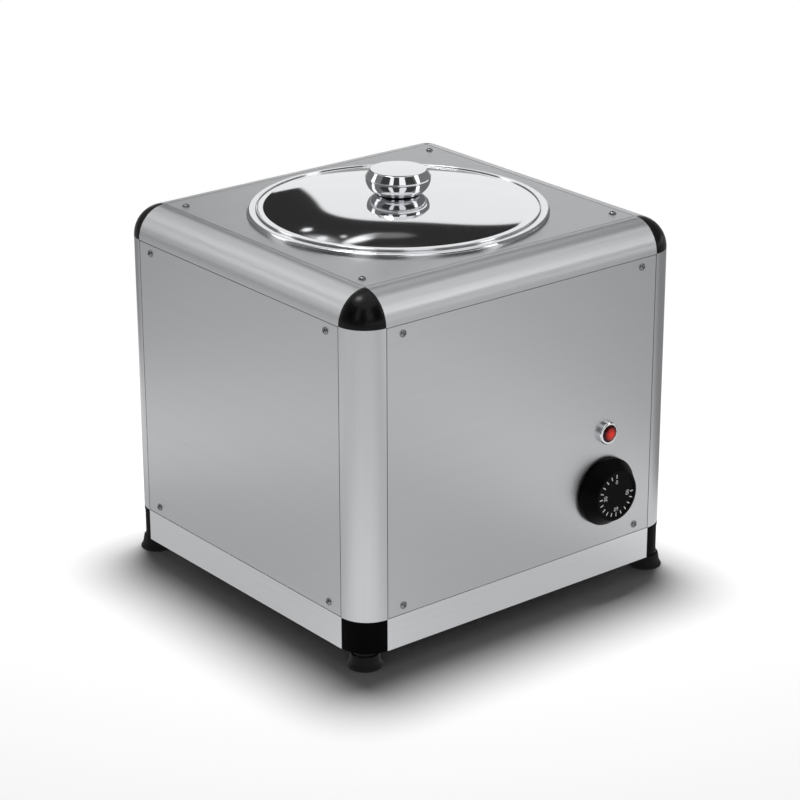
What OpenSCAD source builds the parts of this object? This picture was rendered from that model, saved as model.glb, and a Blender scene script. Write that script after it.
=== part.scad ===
// Chocolate melting tank: a square cabinet of aluminium corner profiles and sheet panels on four levelling
// feet, with a lift-out pot and lid hung in a heated well, a thermostat dial and a pilot lamp.
// Millimetres. +Z is up, the dial is on the front (-Y), and the origin lies on the floor under the middle.

/* [Cabinet] */
// Width over the two side faces
cabinet_w = 320; // [260:1:420]
// Depth over the front and rear faces
cabinet_d = 310; // [250:1:420]
// Height from the underside of the plinth to the top panel
cabinet_h = 286; // [260:1:360]
// Radius of the rounded corner posts, top rails and corner caps
corner_r = 25; // [23:0.5:30]
// Wall of the extruded profiles
profile_t = 2; // [1.5:0.1:2.5]
// Thickness of the side and top panels
panel_t = 1.5; // [1:0.1:2]
// Width of the profile lip that backs a panel's edge
lip_w = 20; // [18:0.5:21]
// Open joint round each panel
seam_gap = 0.6; // [0.3:0.1:1]
// Height of the plinth and of the foot sockets
plinth_h = 26.5; // [25:0.5:32]

/* [Feet] */
// Height from the floor to the underside of the plinth, with the feet screwed in
foot_h = 13.5; // [13:0.5:24]
// Diameter of the pad
foot_d = 28; // [26:0.5:32]
// Diameter of the pad's top
foot_neck_d = 22; // [20:0.5:24]
// Distance from each cabinet face to the foot's axis
foot_inset = 14; // [13:0.5:15]
// Diameter of the levelling thread
foot_thread_d = 8; // [6:0.5:8]
// Length of the levelling thread above its collar
foot_thread_l = 22; // [18:0.5:23]

/* [Pot and lid] */
// Distance from the pot's wall to the nearer pair of cabinet faces
pot_margin = 55; // [50:0.5:70]
// Depth of the pot below the top panel
pot_depth = 180; // [120:1:185]
// Sheet thickness of the pot
pot_t = 1.2; // [0.8:0.1:1.6]
// Radius between the pot's wall and floor
pot_corner_r = 20; // [10:1:30]
// Width of the pot's flange
flange_w = 20; // [18:0.5:24]
// Height of the flange over the top panel
flange_h = 3; // [2.5:0.1:4]
// Width of the flange left bare round the lid
lid_edge = 7; // [4:0.5:9]
// Width of the lid's flat brim, outside its dome
brim_w = 6; // [4:0.5:8]
// Rise of the dome over the brim
lid_rise = 10.5; // [8:0.5:24]
// Sheet thickness of the lid
lid_t = 1; // [0.8:0.1:1.5]
// Depth of the locating ring below the brim
lid_ring_h = 7; // [5:0.5:10]

/* [Lid knob] */
// Diameter over the knob's rim
lid_knob_d = 52; // [46:1:60]
// Diameter of the knob's foot
lid_knob_neck_d = 34; // [28:1:38]
// Diameter of the knob's top face
lid_knob_top_d = 45; // [38:0.5:46]
// Height of the whole knob
lid_knob_h = 21; // [19:0.5:26]
// Height of the bowl below the rim
lid_knob_bowl_h = 13; // [12:0.5:14]

/* [Controls] */
// Distance of the dial's and the lamp's axes from the right face
control_inset = 74; // [70:1:110]
// Height of the dial's axis above the plinth's underside
dial_z = 73; // [66:1:84]
// Height of the lamp's axis above the plinth's underside
lamp_z = 123; // [114:1:160]
// Diameter of the dial's skirt
dial_d = 56; // [52:0.5:62]
// Diameter of the dial's front face
dial_face_d = 42; // [38:0.5:44]
// Distance of the dial's front face from the panel
dial_h = 14.5; // [14:0.5:24]
// Diameter of the lamp's bezel
lamp_bezel_d = 18.5; // [18:0.5:22]
// Diameter of the lamp's lens
lamp_lens_d = 14.5; // [12:0.5:14.5]

/* [Heating] */
// Air gap between the pot and the well
well_gap = 1; // [0.6:0.1:1.5]
// Wall of the well
well_t = 2; // [1.5:0.1:2.5]
// Width of the well's flange under the top panel
well_flange_w = 5.5; // [4:0.5:6]
// Height of the heater band round the well
heater_h = 80; // [40:1:90]
// Thickness of the heater band
heater_t = 3; // [2:0.1:3.5]
// Thickness of the insulation round and under the well
insulation_t = 16; // [10:1:17]

/* [Mains entry] */
// Distance of the cable gland's axis from the right face
gland_inset = 73; // [62:1:110]
// Height of the cable gland above the plinth's underside
gland_z = 55; // [50:1:100]
// Size across the flats of the gland's hexagons
gland_flats = 24; // [23:0.5:27]
// Reach of the gland behind the rear panel
gland_reach = 14.5; // [14:0.5:24]

/* [Hidden] */
// Facets that stand for a full circle, for the great circle of a shallow crown, and for a hexagon
$fn = 96;
CROWN_FN = 720;
HEX = 6;
// Overrun of every cut past the face that it opens
cut = 1;
// Clearances: plug in profile, notch beside a lip, running shaft, pieces laid side by side, screw in a hole
plug_gap = 0.3;
notch_gap = 0.6;
run_gap = 0.05;
lay_gap = 0.3;
screw_gap = 0.2;

// Corners and sides by the turn that brings the first one to them
REAR_RIGHT = 0;
REAR_LEFT = 90;
FRONT_LEFT = 180;
FRONT_RIGHT = 270;
RIGHT = 0;
REAR = 90;
LEFT = 180;
FRONT = 270;
SIDES = [RIGHT, REAR, LEFT, FRONT];
CORNERS = [REAR_RIGHT, REAR_LEFT, FRONT_LEFT, FRONT_RIGHT];

// Levels of the cabinet
z_plinth = foot_h;
z_seam = z_plinth + plinth_h;
z_top = z_plinth + cabinet_h;
z_rail = z_top - corner_r;
z_under = z_top - panel_t;
half_w = cabinet_w / 2;
half_d = cabinet_d / 2;
core_x = half_w - corner_r;
core_y = half_d - corner_r;
control_x = half_w - control_inset;
gland_x = half_w - gland_inset;

// Plinth, base panel and corner mouldings
plinth_t = panel_t + profile_t;
plinth_lip_h = 12;
plinth_flange_w = 22;
base_t = 1.2;
z_base = z_plinth + profile_t + base_t;
vent_w = 4;
vent_l = 46;
vent_pitch = 12;
vent_count = 6;
vent_row_y = 45;
plug_l = 12;
socket_band_h = 3.5;
socket_step = 0.4;
tab_t = 3;
tab_l = 22;

// Pan-head screws of the panels
screw_d = 3;
screw_l = 8;
screw_head_d = 6;
screw_head_h = 2;
side_screw_inset = 15.5;
side_screw_edge = 7.5;
top_screw_inset = 10;
top_screw_edge = 16;
base_screw_inset = plinth_t + (plinth_flange_w - plinth_t) / 2;
base_screw_share = 0.3;

// Levelling feet: threaded nut in the socket, collar on the screw, swivel pin in the pad
foot_c = corner_r - foot_inset;
nut_flats = 13;
nut_h = 6.5;
nut_lift = 5;
collar_d = 19;
pad_h = 11;
pad_edge = 1.2;
pad_side_h = 3;
pin_d = 7;
pin_l = 5;
foot_gap = 0.2;

// Pot and lid
pot_r = min(half_w, half_d) - pot_margin;
pot_inner_r = pot_r - pot_t;
flange_r = pot_r + flange_w;
flange_edge_r = 2;
flange_inner_edge_r = flange_edge_r - pot_t / 2;
hole_gap = 2;
z_flange = z_top + flange_h;
z_brim = z_flange + lid_t;
z_lid = z_brim + lid_rise;
lid_r = flange_r - lid_edge;
dome_r = lid_r - brim_w;
dome_ball_r = crown_r(dome_r, lid_rise);
dome_inner_ball_r = dome_ball_r - lid_t;
z_dome_ball = z_lid - dome_ball_r;
brim_bead_r = 1;
ring_gap = 2;
ring_r = pot_inner_r - ring_gap;

// Lid knob and its screw
knob_rim_r = lid_knob_d / 2;
knob_neck_r = lid_knob_neck_d / 2;
knob_flare = knob_rim_r - knob_neck_r;
knob_bowl_ball_r = crown_r(lid_knob_bowl_h, knob_flare);
knob_top_r = lid_knob_top_d / 2;
knob_rim_t = 0.8;
knob_crown_h = 1.5;
knob_crown_ball_r = crown_r(knob_top_r, knob_crown_h);
knob_foot_w = 2.5;
knob_recess_h = 1;
knob_recess_r = knob_neck_r - knob_foot_w;
z_knob = z_dome_ball + ball_height(dome_ball_r, knob_recess_r);
knob_screw_d = 5;
knob_screw_l = 14;
knob_screw_head_d = 10;
knob_screw_head_h = 3;
knob_screw_head_r = knob_screw_head_d / 2;
z_knob_screw = z_dome_ball + ball_height(dome_inner_ball_r, knob_screw_head_r) - run_gap;

// Well, heater and insulation
well_inner_r = pot_r + well_gap;
well_outer_r = well_inner_r + well_t;
z_well = z_top - pot_depth - well_gap - well_t;
wrap_gap = 0.1;
heater_inner_r = well_outer_r + wrap_gap;
heater_outer_r = heater_inner_r + heater_t;
heater_lead_r = heater_outer_r - heater_t / 2;
z_heater = z_well + well_t + well_gap + pot_corner_r;
jacket_inner_r = heater_outer_r + lay_gap;
jacket_outer_r = jacket_inner_r + insulation_t;
jacket_top_gap = 2;
z_jacket = z_rail - jacket_top_gap;
cutout_d = 24;
cutout_h = 10;
cutout_tab_w = 6;
cutout_tab_t = 0.8;
cutout_tab_h = 9;
cutout_tab_pitch = 12;

// Thermostat behind the front panel, its sensor and the dial on its spindle
stat_w = 44;
stat_h = 36;
stat_depth = 34;
bush_d = 10;
bush_h = 3;
spindle_d = 6;
spindle_flat = 1.2;
spindle_seat = 12;
spindle_end_gap = 1;
spindle_low_gap = 0.2;
stat_screw_pitch = 28;
stat_screw_d = 4;
stat_screw_l = 10;
stat_screw_head_d = 7;
stat_screw_head_h = 2.4;
dial_gap = 1;
dial_skirt_t = 4;
dial_bevel = 0.8;
dial_edge = 1;
dial_wall = 2.2;
dial_face_t = 3;
dial_rim_w = 1.6;
dial_recess = 0.5;
dial_hub_d = 14;
dial_hub_lift = 4.5;
bulb_d = 6.4;
bulb_l = 70;
bulb_lift = 6;
capillary_d = 2;
capillary_bend_r = 2;
slit_w = bulb_d + 2 * lay_gap;
sensor_x = control_x - stat_w / 4;
sensor_y = -half_d + panel_t + stat_depth / 2;
sensor_turn = atan2(sensor_y, sensor_x);
sensor_r = sqrt(sensor_x * sensor_x + sensor_y * sensor_y);
bulb_r = well_outer_r + wrap_gap + bulb_d / 2;
z_bulb = z_heater + heater_h + bulb_lift;
z_stat = z_plinth + dial_z;
z_lamp = z_plinth + lamp_z;

// Pilot lamp
lamp_barrel_d = 12;
lamp_barrel_l = 20;
lamp_bore_d = 9;
lamp_rim_h = 4.2;
lamp_rim_edge = 1.4;
lamp_seat_h = 1;
lamp_lens_h = 4.6;
lamp_lens_crown = 1.8;
lamp_stem_l = 10;
lamp_stem_d = 8.4;
lamp_lens_r = lamp_lens_d / 2;
lamp_crown_ball_r = crown_r(lamp_lens_r, lamp_lens_crown);
lamp_nut_flats = 16;
lamp_nut_h = 3.5;

// Cable gland, closed by the blind membrane of its seal
gland_thread_d = 20;
gland_thread_l = 12;
gland_flange_h = 4;
gland_collar_d = 17;
gland_collar_h = 4;
gland_seat = gland_flange_h + gland_collar_h;
gland_bore_d = 12;
gland_nut_gap = 0.2;
gland_dome_h = 4.5;
gland_mouth_d = 10;
gland_seal_h = 4;
gland_seal_lip_h = 1.6;
gland_locknut_flats = 27;
gland_locknut_h = 5;
z_gland = z_plinth + gland_z;

// Terminal block and wires
terminal_w = 58;
terminal_d = 20;
terminal_h = 18;
terminal_poles = 5;
terminal_screw_d = 6;
terminal_screw_depth = 5;
terminal_x = -60;
terminal_y = 80;
wire_d = 2.6;
wire_bend_r = 4;
wire_rise = 10;
wire_step = 8;

// Radius of the ball whose cap is h high and reaches a from its axis, and its height at x from that axis
function crown_r(a, h) = (a * a + h * h) / (2 * h);
function ball_height(r, x) = sqrt(r * r - x * x);
// Outward direction of a corner along X and along Y
function side_x(turn) = turn == REAR_RIGHT || turn == FRONT_RIGHT ? 1 : -1;
function side_y(turn) = turn == REAR_RIGHT || turn == REAR_LEFT ? 1 : -1;
// Distance of a side's face from the middle, and the clear run between its two corners
function half_of(turn) = turn % 180 == 0 ? half_w : half_d;
function run_of(turn) = 2 * (turn % 180 == 0 ? core_y : core_x);

// Puts a piece drawn for the rear right corner, about the centre of its rounding, at a corner
module at_corner(turn)
    translate([side_x(turn) * core_x, side_y(turn) * core_y, 0])
        rotate([0, 0, turn])
            children();

// Puts a piece drawn with +X outwards and its outer face at x = 0 on a side
module on_side(turn)
    rotate([0, 0, turn])
        translate([half_of(turn), 0, 0])
            children();

// Extrudes a section drawn as outwards and up along a side
module along_side(run)
    rotate([90, 0, 0])
        linear_extrude(height = run, center = true)
            children();

// Turns +Z outwards from the front panel, or from the rear panel
module on_front(x, z)
    translate([x, -half_d, z])
        rotate([90, 0, 0])
            children();

module on_rear(x, z)
    translate([x, half_d, z])
        rotate([-90, 0, 0])
            children();

// Stands a piece at the axis of a corner's foot
module at_foot(turn)
    at_corner(turn)
        translate([foot_c, foot_c, 0])
            children();

module hexagon(flats)
    circle(d = flats / cos(180 / HEX), $fn = HEX);

// Square of the given size with its low corner at the given point
module block_2d(low, size)
    translate(low)
        square(size);

// Quarter disc about the corner's centre, kept the given distance clear of both of its straight sides
module quarter_disc(r, clear)
    intersection() {
        circle(r = r);
        block_2d([clear, clear], [r, r]);
    }

// The rounded hollow of the extrusion that posts and top rails are cut from
module quarter_tube()
    difference() {
        quarter_disc(corner_r, 0);
        quarter_disc(corner_r - profile_t, profile_t);
    }

// Lip behind the panel on the face that looks along X, and on the face that looks along Y
module lip_x()
    block_2d([corner_r - plinth_t, -lip_w], [profile_t, lip_w]);

module lip_y()
    block_2d([-lip_w, corner_r - plinth_t], [lip_w, profile_t]);

module quarter_plug()
    linear_extrude(height = plug_l)
        quarter_disc(corner_r - profile_t - plug_gap, profile_t + plug_gap);

// Places of the screws, each with its head's underside at z = 0 and its head towards +Z
module side_screw_places(turn)
    on_side(turn)
        for (end = [-1, 1], z = [z_seam + side_screw_edge, z_rail - side_screw_edge])
            translate([0, end * (run_of(turn) / 2 - side_screw_inset), z])
                rotate([0, 90, 0])
                    children();

module top_screw_places()
    for (x = [-1, 1], y = [-1, 1])
        translate([x * (core_x - top_screw_inset), y * (core_y - top_screw_edge), z_top])
            children();

module base_screw_places()
    for (turn = SIDES, end = [-1, 1])
        on_side(turn)
            translate([-base_screw_inset, end * base_screw_share * run_of(turn), z_plinth])
                rotate([180, 0, 0])
                    children();

module screw_hole()
    translate([0, 0, -screw_l - cut])
        cylinder(d = screw_d + 2 * screw_gap, h = screw_l + 2 * cut);

// Pan-head screw: a domed head on a plain shank
module pan_screw(d, l, head_d, head_h) {
    ball_r = crown_r(head_d / 2, head_h);
    rotate_extrude()
        union() {
            block_2d([0, -l], [d / 2, l]);
            intersection() {
                translate([0, head_h - ball_r])
                    circle(r = ball_r);
                square([head_d / 2, head_h]);
            }
        }
}

module post(turn)
    color("gainsboro")
        difference() {
            at_corner(turn)
                translate([0, 0, z_seam])
                    linear_extrude(height = z_rail - z_seam)
                        union() {
                            quarter_tube();
                            lip_x();
                            lip_y();
                        }
            side_screw_places(turn)
                screw_hole();
            side_screw_places((turn + 90) % 360)
                screw_hole();
        }

// The side rails carry the top panel's screws on full lips, and the lips of the other runs stop at a
// neighbour's. Each lip is also cut round where it would reach the well's flange.
module top_rail(turn) {
    run = run_of(turn);
    notched = run - 2 * (lip_w + notch_gap);
    color("gainsboro")
        difference() {
            on_side(turn)
                translate([-corner_r, 0, z_rail])
                    union() {
                        along_side(run)
                            quarter_tube();
                        along_side(notched)
                            lip_x();
                        along_side(turn % 180 == 0 ? run : notched)
                            lip_y();
                    }
            top_screw_places()
                screw_hole();
            translate([0, 0, z_rail])
                cylinder(r = well_outer_r + well_flange_w + notch_gap, h = corner_r);
        }
}

module plinth(turn) {
    run = run_of(turn);
    color("silver")
        difference() {
            on_side(turn)
                union() {
                    along_side(run)
                        union() {
                            block_2d([-plinth_t, z_plinth], [plinth_t, plinth_h]);
                            block_2d([-plinth_flange_w, z_plinth], [plinth_flange_w, profile_t]);
                        }
                    along_side(run - 2 * (lip_w + notch_gap))
                        block_2d([-plinth_t, z_seam], [profile_t, plinth_lip_h]);
                }
            base_screw_places()
                screw_hole();
        }
}

// Moulded cap: an eighth of a ball, with plugs down into the post and along into the two rails
module corner_cap(turn)
    color("black")
        at_corner(turn)
            translate([0, 0, z_rail])
                union() {
                    intersection() {
                        sphere(r = corner_r);
                        cube(corner_r);
                    }
                    translate([0, 0, -plug_l])
                        quarter_plug();
                    rotate([90, 0, 0])
                        quarter_plug();
                    translate([-plug_l, 0, 0])
                        rotate([90, 0, 90])
                            quarter_plug();
                }

// Moulded socket: stands under the post, holds the nut of the foot, and has a tab behind each plinth rail
module foot_socket(turn) {
    z_tab = z_base + lay_gap;
    tab_h = z_seam - z_tab - socket_band_h;
    tab_edge = corner_r - plinth_t - tab_t;
    color("black")
        difference() {
            at_corner(turn)
                union() {
                    translate([0, 0, z_plinth])
                        linear_extrude(height = plinth_h)
                            quarter_disc(corner_r - socket_step, 0);
                    translate([0, 0, z_seam - socket_band_h])
                        linear_extrude(height = socket_band_h)
                            quarter_disc(corner_r, 0);
                    translate([0, 0, z_seam])
                        quarter_plug();
                    translate([tab_edge, -tab_l, z_tab])
                        cube([tab_t, tab_l + corner_r - tab_edge, tab_h]);
                    translate([-tab_l, tab_edge, z_tab])
                        cube([tab_l + corner_r - tab_edge, tab_t, tab_h]);
                }
            at_foot(turn)
                union() {
                    translate([0, 0, z_plinth - cut])
                        cylinder(d = foot_thread_d + 2 * plug_gap, h = foot_thread_l + 2 * cut);
                    translate([0, 0, z_plinth + nut_lift])
                        linear_extrude(height = nut_h)
                            hexagon(nut_flats);
                }
        }
}

module foot_nuts()
    color("darkgray")
        for (turn = CORNERS)
            at_foot(turn)
                translate([0, 0, z_plinth + nut_lift])
                    linear_extrude(height = nut_h)
                        difference() {
                            hexagon(nut_flats);
                            circle(d = foot_thread_d + 2 * run_gap);
                        }

// Levelling screw: thread up into the nut, collar below the socket, swivel pin down into the pad
module foot_screw(turn) {
    z_collar = pad_h + foot_gap;
    z_stop = z_plinth - foot_gap;
    color("black")
        at_foot(turn)
            rotate_extrude()
                polygon([
                    [0, pad_h - pin_l],
                    [pin_d / 2, pad_h - pin_l],
                    [pin_d / 2, z_collar],
                    [collar_d / 2, z_collar],
                    [collar_d / 2, z_stop],
                    [foot_thread_d / 2, z_stop],
                    [foot_thread_d / 2, z_stop + foot_thread_l],
                    [0, z_stop + foot_thread_l]
                ]);
}

module foot_pad(turn)
    color("black")
        at_foot(turn)
            rotate_extrude()
                difference() {
                    polygon([
                        [0, 0],
                        [foot_d / 2 - pad_edge, 0],
                        [foot_d / 2, pad_edge],
                        [foot_d / 2, pad_side_h],
                        [foot_neck_d / 2, pad_h],
                        [0, pad_h]
                    ]);
                    block_2d([0, pad_h - pin_l - foot_gap], [pin_d / 2 + run_gap, pin_l + foot_gap + cut]);
                }

// Sheet panel of a side, between its posts, top rail and plinth
module side_panel(turn) {
    reach = run_of(turn) / 2 - seam_gap;
    difference() {
        on_side(turn)
            translate([-panel_t, -reach, z_seam + seam_gap])
                cube([panel_t, 2 * reach, z_rail - z_seam - 2 * seam_gap]);
        side_screw_places(turn)
            screw_hole();
    }
}

module panel_hole(d)
    translate([0, 0, -panel_t - cut])
        cylinder(d = d, h = panel_t + 2 * cut);

module front_panel()
    color("silver")
        difference() {
            side_panel(FRONT);
            on_front(control_x, z_stat)
                union() {
                    panel_hole(bush_d + 2 * lay_gap);
                    for (end = [-1, 1])
                        translate([end * stat_screw_pitch / 2, 0, 0])
                            panel_hole(stat_screw_d + 2 * screw_gap);
                }
            on_front(control_x, z_lamp)
                panel_hole(lamp_barrel_d + 2 * screw_gap);
        }

module rear_panel()
    color("silver")
        difference() {
            side_panel(REAR);
            on_rear(gland_x, z_gland)
                panel_hole(gland_thread_d + 2 * screw_gap);
        }

module left_panel()
    color("silver")
        side_panel(LEFT);

module right_panel()
    color("silver")
        side_panel(RIGHT);

module top_panel() {
    reach_x = core_x - seam_gap;
    reach_y = core_y - seam_gap;
    color("silver")
        difference() {
            translate([-reach_x, -reach_y, z_under])
                cube([2 * reach_x, 2 * reach_y, panel_t]);
            translate([0, 0, z_under - cut])
                cylinder(r = pot_r + hole_gap, h = panel_t + 2 * cut);
            top_screw_places()
                screw_hole();
        }
}

// Base sheet laid on the plinth's flanges, cut away round the sockets and slotted for air
module base_panel() {
    reach_x = half_w - plinth_t - lay_gap;
    reach_y = half_d - plinth_t - lay_gap;
    color("darkgray")
        difference() {
            translate([0, 0, z_plinth + profile_t])
                linear_extrude(height = base_t)
                    difference() {
                        block_2d([-reach_x, -reach_y], [2 * reach_x, 2 * reach_y]);
                        for (turn = CORNERS)
                            at_corner(turn)
                                block_2d([-lay_gap, -lay_gap], [corner_r, corner_r]);
                        for (i = [0 : vent_count - 1], y = [-vent_row_y, vent_row_y])
                            translate([(i - (vent_count - 1) / 2) * vent_pitch, y])
                                square([vent_w, vent_l], center = true);
                    }
            base_screw_places()
                screw_hole();
        }
}

module panel_screw()
    pan_screw(screw_d, screw_l, screw_head_d, screw_head_h);

module panel_screws()
    color("whitesmoke") {
        for (turn = SIDES)
            side_screw_places(turn)
                panel_screw();
        top_screw_places()
            panel_screw();
        base_screw_places()
            panel_screw();
    }

function unit(step) = step / norm(step);

// Rod of diameter d along runs that meet at right angles at the given points, with bends of the given radius
module bent_rod(points, d, bend_r) {
    last = len(points) - 1;
    for (i = [0 : last - 1]) {
        along = unit(points[i + 1] - points[i]);
        low = i == 0 ? 0 : bend_r;
        high = norm(points[i + 1] - points[i]) - (i == last - 1 ? 0 : bend_r);
        translate(points[i] + low * along)
            rotate([0, acos(along[2]), atan2(along[1], along[0])])
                cylinder(d = d, h = high - low);
    }
    for (i = [1 : last - 1]) {
        in = unit(points[i] - points[i - 1]);
        out = unit(points[i + 1] - points[i]);
        up = cross(in, out);
        middle = points[i] + bend_r * (out - in);
        multmatrix([
            [-out[0], in[0], up[0], middle[0]],
            [-out[1], in[1], up[1], middle[1]],
            [-out[2], in[2], up[2], middle[2]],
            [0, 0, 0, 1]
        ])
            rotate_extrude(angle = 90)
                translate([bend_r, 0])
                    circle(d = d);
    }
}

// Section of a flange plate from the axis to r, with its outer top edge rounded
module flange_section(r, h, edge) {
    square([r - edge, h]);
    square([r, h - edge]);
    translate([r - edge, h - edge])
        quarter_disc(edge, 0);
}

// Section of a cup from the axis to r, with its floor's edge rounded
module cup_section(r, floor_z, top_z, edge) {
    block_2d([0, floor_z], [r - edge, top_z - floor_z]);
    block_2d([0, floor_z + edge], [r, top_z - floor_z - edge]);
    intersection() {
        translate([r - edge, floor_z + edge])
            circle(r = edge);
        block_2d([0, floor_z], [r, 2 * edge]);
    }
}

// Spun pot: straight wall, rounded floor and a flange whose edge is turned down onto the top panel
module pot()
    color("lightgray")
        translate([0, 0, z_top])
            rotate_extrude()
                difference() {
                    union() {
                        difference() {
                            flange_section(flange_r, flange_h, flange_edge_r);
                            translate([0, -cut])
                                flange_section(flange_r - pot_t, flange_h - pot_t + cut, flange_inner_edge_r);
                        }
                        cup_section(pot_r, -pot_depth, flange_h, pot_corner_r);
                    }
                    cup_section(pot_inner_r, pot_t - pot_depth, flange_h + cut, pot_corner_r - pot_t);
                }

// Spun lid: flat brim with a rolled edge, shallow dome, and a locating ring inside the pot's mouth
module lid()
    color("lightgray")
        rotate_extrude()
            difference() {
                union() {
                    translate([0, z_flange])
                        square([lid_r - brim_bead_r, lid_t]);
                    translate([lid_r - brim_bead_r, z_flange + brim_bead_r + lay_gap])
                        circle(r = brim_bead_r);
                    intersection() {
                        translate([0, z_dome_ball])
                            circle(r = dome_ball_r, $fn = CROWN_FN);
                        block_2d([0, z_flange - lid_ring_h], [dome_r, lid_ring_h + lid_t + lid_rise]);
                    }
                }
                intersection() {
                    translate([0, z_dome_ball])
                        circle(r = dome_inner_ball_r, $fn = CROWN_FN);
                    block_2d([0, z_flange - lid_ring_h - cut], [ring_r - lid_t, dome_ball_r]);
                }
                block_2d([ring_r, z_flange - lid_ring_h - cut], [lid_r, lid_ring_h + cut]);
                square([knob_screw_d / 2 + screw_gap, z_lid + cut]);
            }

// Chromed knob: a bowl that opens up to a thin rim, a bevel in to the top and a slightly crowned top face
module lid_knob() {
    shoulder_h = lid_knob_h - knob_crown_h;
    color("whitesmoke")
        translate([0, 0, z_knob])
            rotate_extrude()
                difference() {
                    union() {
                        intersection() {
                            translate([knob_rim_r - knob_bowl_ball_r, lid_knob_bowl_h])
                                circle(r = knob_bowl_ball_r);
                            square([knob_rim_r, lid_knob_bowl_h]);
                        }
                        square([knob_neck_r, lid_knob_bowl_h]);
                        polygon([
                            [0, lid_knob_bowl_h],
                            [knob_rim_r, lid_knob_bowl_h],
                            [knob_rim_r, lid_knob_bowl_h + knob_rim_t],
                            [knob_top_r, shoulder_h],
                            [0, shoulder_h]
                        ]);
                        intersection() {
                            translate([0, lid_knob_h - knob_crown_ball_r])
                                circle(r = knob_crown_ball_r, $fn = CROWN_FN);
                            block_2d([0, shoulder_h], [knob_top_r, knob_crown_h]);
                        }
                    }
                    block_2d([0, -cut], [knob_recess_r, knob_recess_h + cut]);
                    block_2d([0, -cut], [knob_screw_d / 2 + screw_gap, knob_screw_l + cut]);
                }
}

// Screw up through the lid into the knob, its head against the lid's underside
module lid_knob_screw()
    color("silver")
        translate([0, 0, z_knob_screw])
            rotate([180, 0, 0])
                pan_screw(knob_screw_d, knob_screw_l, knob_screw_head_d, knob_screw_head_h);

// Aluminium well under the top panel that the heater wraps and the pot hangs in
module well()
    color("darkgray")
        rotate_extrude()
            difference() {
                union() {
                    cup_section(well_outer_r, z_well, z_under, pot_corner_r + well_gap + well_t);
                    block_2d([0, z_under - well_t], [well_outer_r + well_flange_w, well_t]);
                }
                cup_section(well_inner_r, z_well + well_t, z_under + cut, pot_corner_r + well_gap);
            }

module ring(inner_r, outer_r, low, high)
    translate([0, 0, low])
        linear_extrude(height = high - low)
            difference() {
                circle(r = outer_r);
                circle(r = inner_r);
            }

// Silicone heater band, split where its ends are laced together
module heater_band()
    color("firebrick")
        difference() {
            ring(heater_inner_r, heater_outer_r, z_heater, z_heater + heater_h);
            rotate([0, 0, sensor_turn])
                translate([0, -slit_w / 2, z_heater - cut])
                    cube([jacket_outer_r, slit_w, heater_h + 2 * cut]);
        }

// Mineral wool jacket, slit where the sensor lies against the well
module insulation_jacket()
    color("khaki")
        difference() {
            ring(jacket_inner_r, jacket_outer_r, z_well, z_jacket);
            rotate([0, 0, sensor_turn])
                translate([0, -slit_w / 2, z_well - cut])
                    cube([jacket_outer_r + cut, slit_w, z_jacket - z_well + 2 * cut]);
        }

// Mineral wool disc under the well, with room for the cut-out and the heater's lead
module insulation_base()
    color("khaki")
        difference() {
            ring(cutout_d / 2 + lay_gap, jacket_outer_r, z_well - insulation_t, z_well);
            translate([-heater_lead_r, 0, z_well - insulation_t - cut])
                cylinder(d = wire_d + 2 * lay_gap, h = insulation_t + 2 * cut);
        }

// Safety cut-out: a snap-disc can against the well's floor, with two blade terminals
module thermal_cutout()
    color("dimgray")
        translate([0, 0, z_well - cutout_h])
            union() {
                cylinder(d = cutout_d, h = cutout_h);
                for (end = [-1, 1])
                    translate([end * cutout_tab_pitch / 2, 0, -cutout_tab_h / 2])
                        cube([cutout_tab_t, cutout_tab_w, cutout_tab_h], center = true);
            }

// Thermostat: a case against the back of the front panel, with the spindle's bush through the panel
module thermostat()
    color("dimgray")
        on_front(control_x, z_stat)
            difference() {
                union() {
                    translate([-stat_w / 2, -stat_h / 2, -panel_t - stat_depth])
                        cube([stat_w, stat_h, stat_depth]);
                    translate([0, 0, -panel_t])
                        cylinder(d = bush_d, h = panel_t + bush_h);
                }
                translate([0, 0, -spindle_seat])
                    cylinder(d = spindle_d + 2 * run_gap, h = spindle_seat + bush_h + cut);
                for (end = [-1, 1])
                    translate([end * stat_screw_pitch / 2, 0, -stat_screw_l - cut])
                        cylinder(d = stat_screw_d + 2 * screw_gap, h = stat_screw_l + cut);
            }

module thermostat_screws()
    color("whitesmoke")
        on_front(control_x, z_stat)
            for (end = [-1, 1])
                translate([end * stat_screw_pitch / 2, 0, 0])
                    pan_screw(stat_screw_d, stat_screw_l, stat_screw_head_d, stat_screw_head_h);

// Round shaft of radius r with the flat that keys the dial
module keyed_section(r)
    difference() {
        circle(r = r);
        block_2d([-r, r - spindle_flat], [2 * r, r]);
    }

module thermostat_spindle() {
    z_low = spindle_low_gap - spindle_seat;
    z_key = dial_hub_lift;
    color("silver")
        on_front(control_x, z_stat)
            union() {
                translate([0, 0, z_low])
                    cylinder(d = spindle_d, h = z_key - z_low);
                translate([0, 0, z_key])
                    linear_extrude(height = dial_h - dial_face_t - spindle_end_gap - z_key)
                        keyed_section(spindle_d / 2);
            }
}

// Sensor: a bulb upright in the jacket's slit, and its capillary out and down to the thermostat
module sensor_bulb() {
    z_turn = z_bulb - bulb_lift / 2;
    color("peru")
        rotate([0, 0, sensor_turn])
            union() {
                translate([bulb_r, 0, z_bulb])
                    cylinder(d = bulb_d, h = bulb_l);
                bent_rod([
                    [bulb_r, 0, z_bulb],
                    [bulb_r, 0, z_turn],
                    [sensor_r, 0, z_turn],
                    [sensor_r, 0, z_stat + stat_h / 2]
                ], capillary_d, capillary_bend_r);
            }
}

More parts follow.
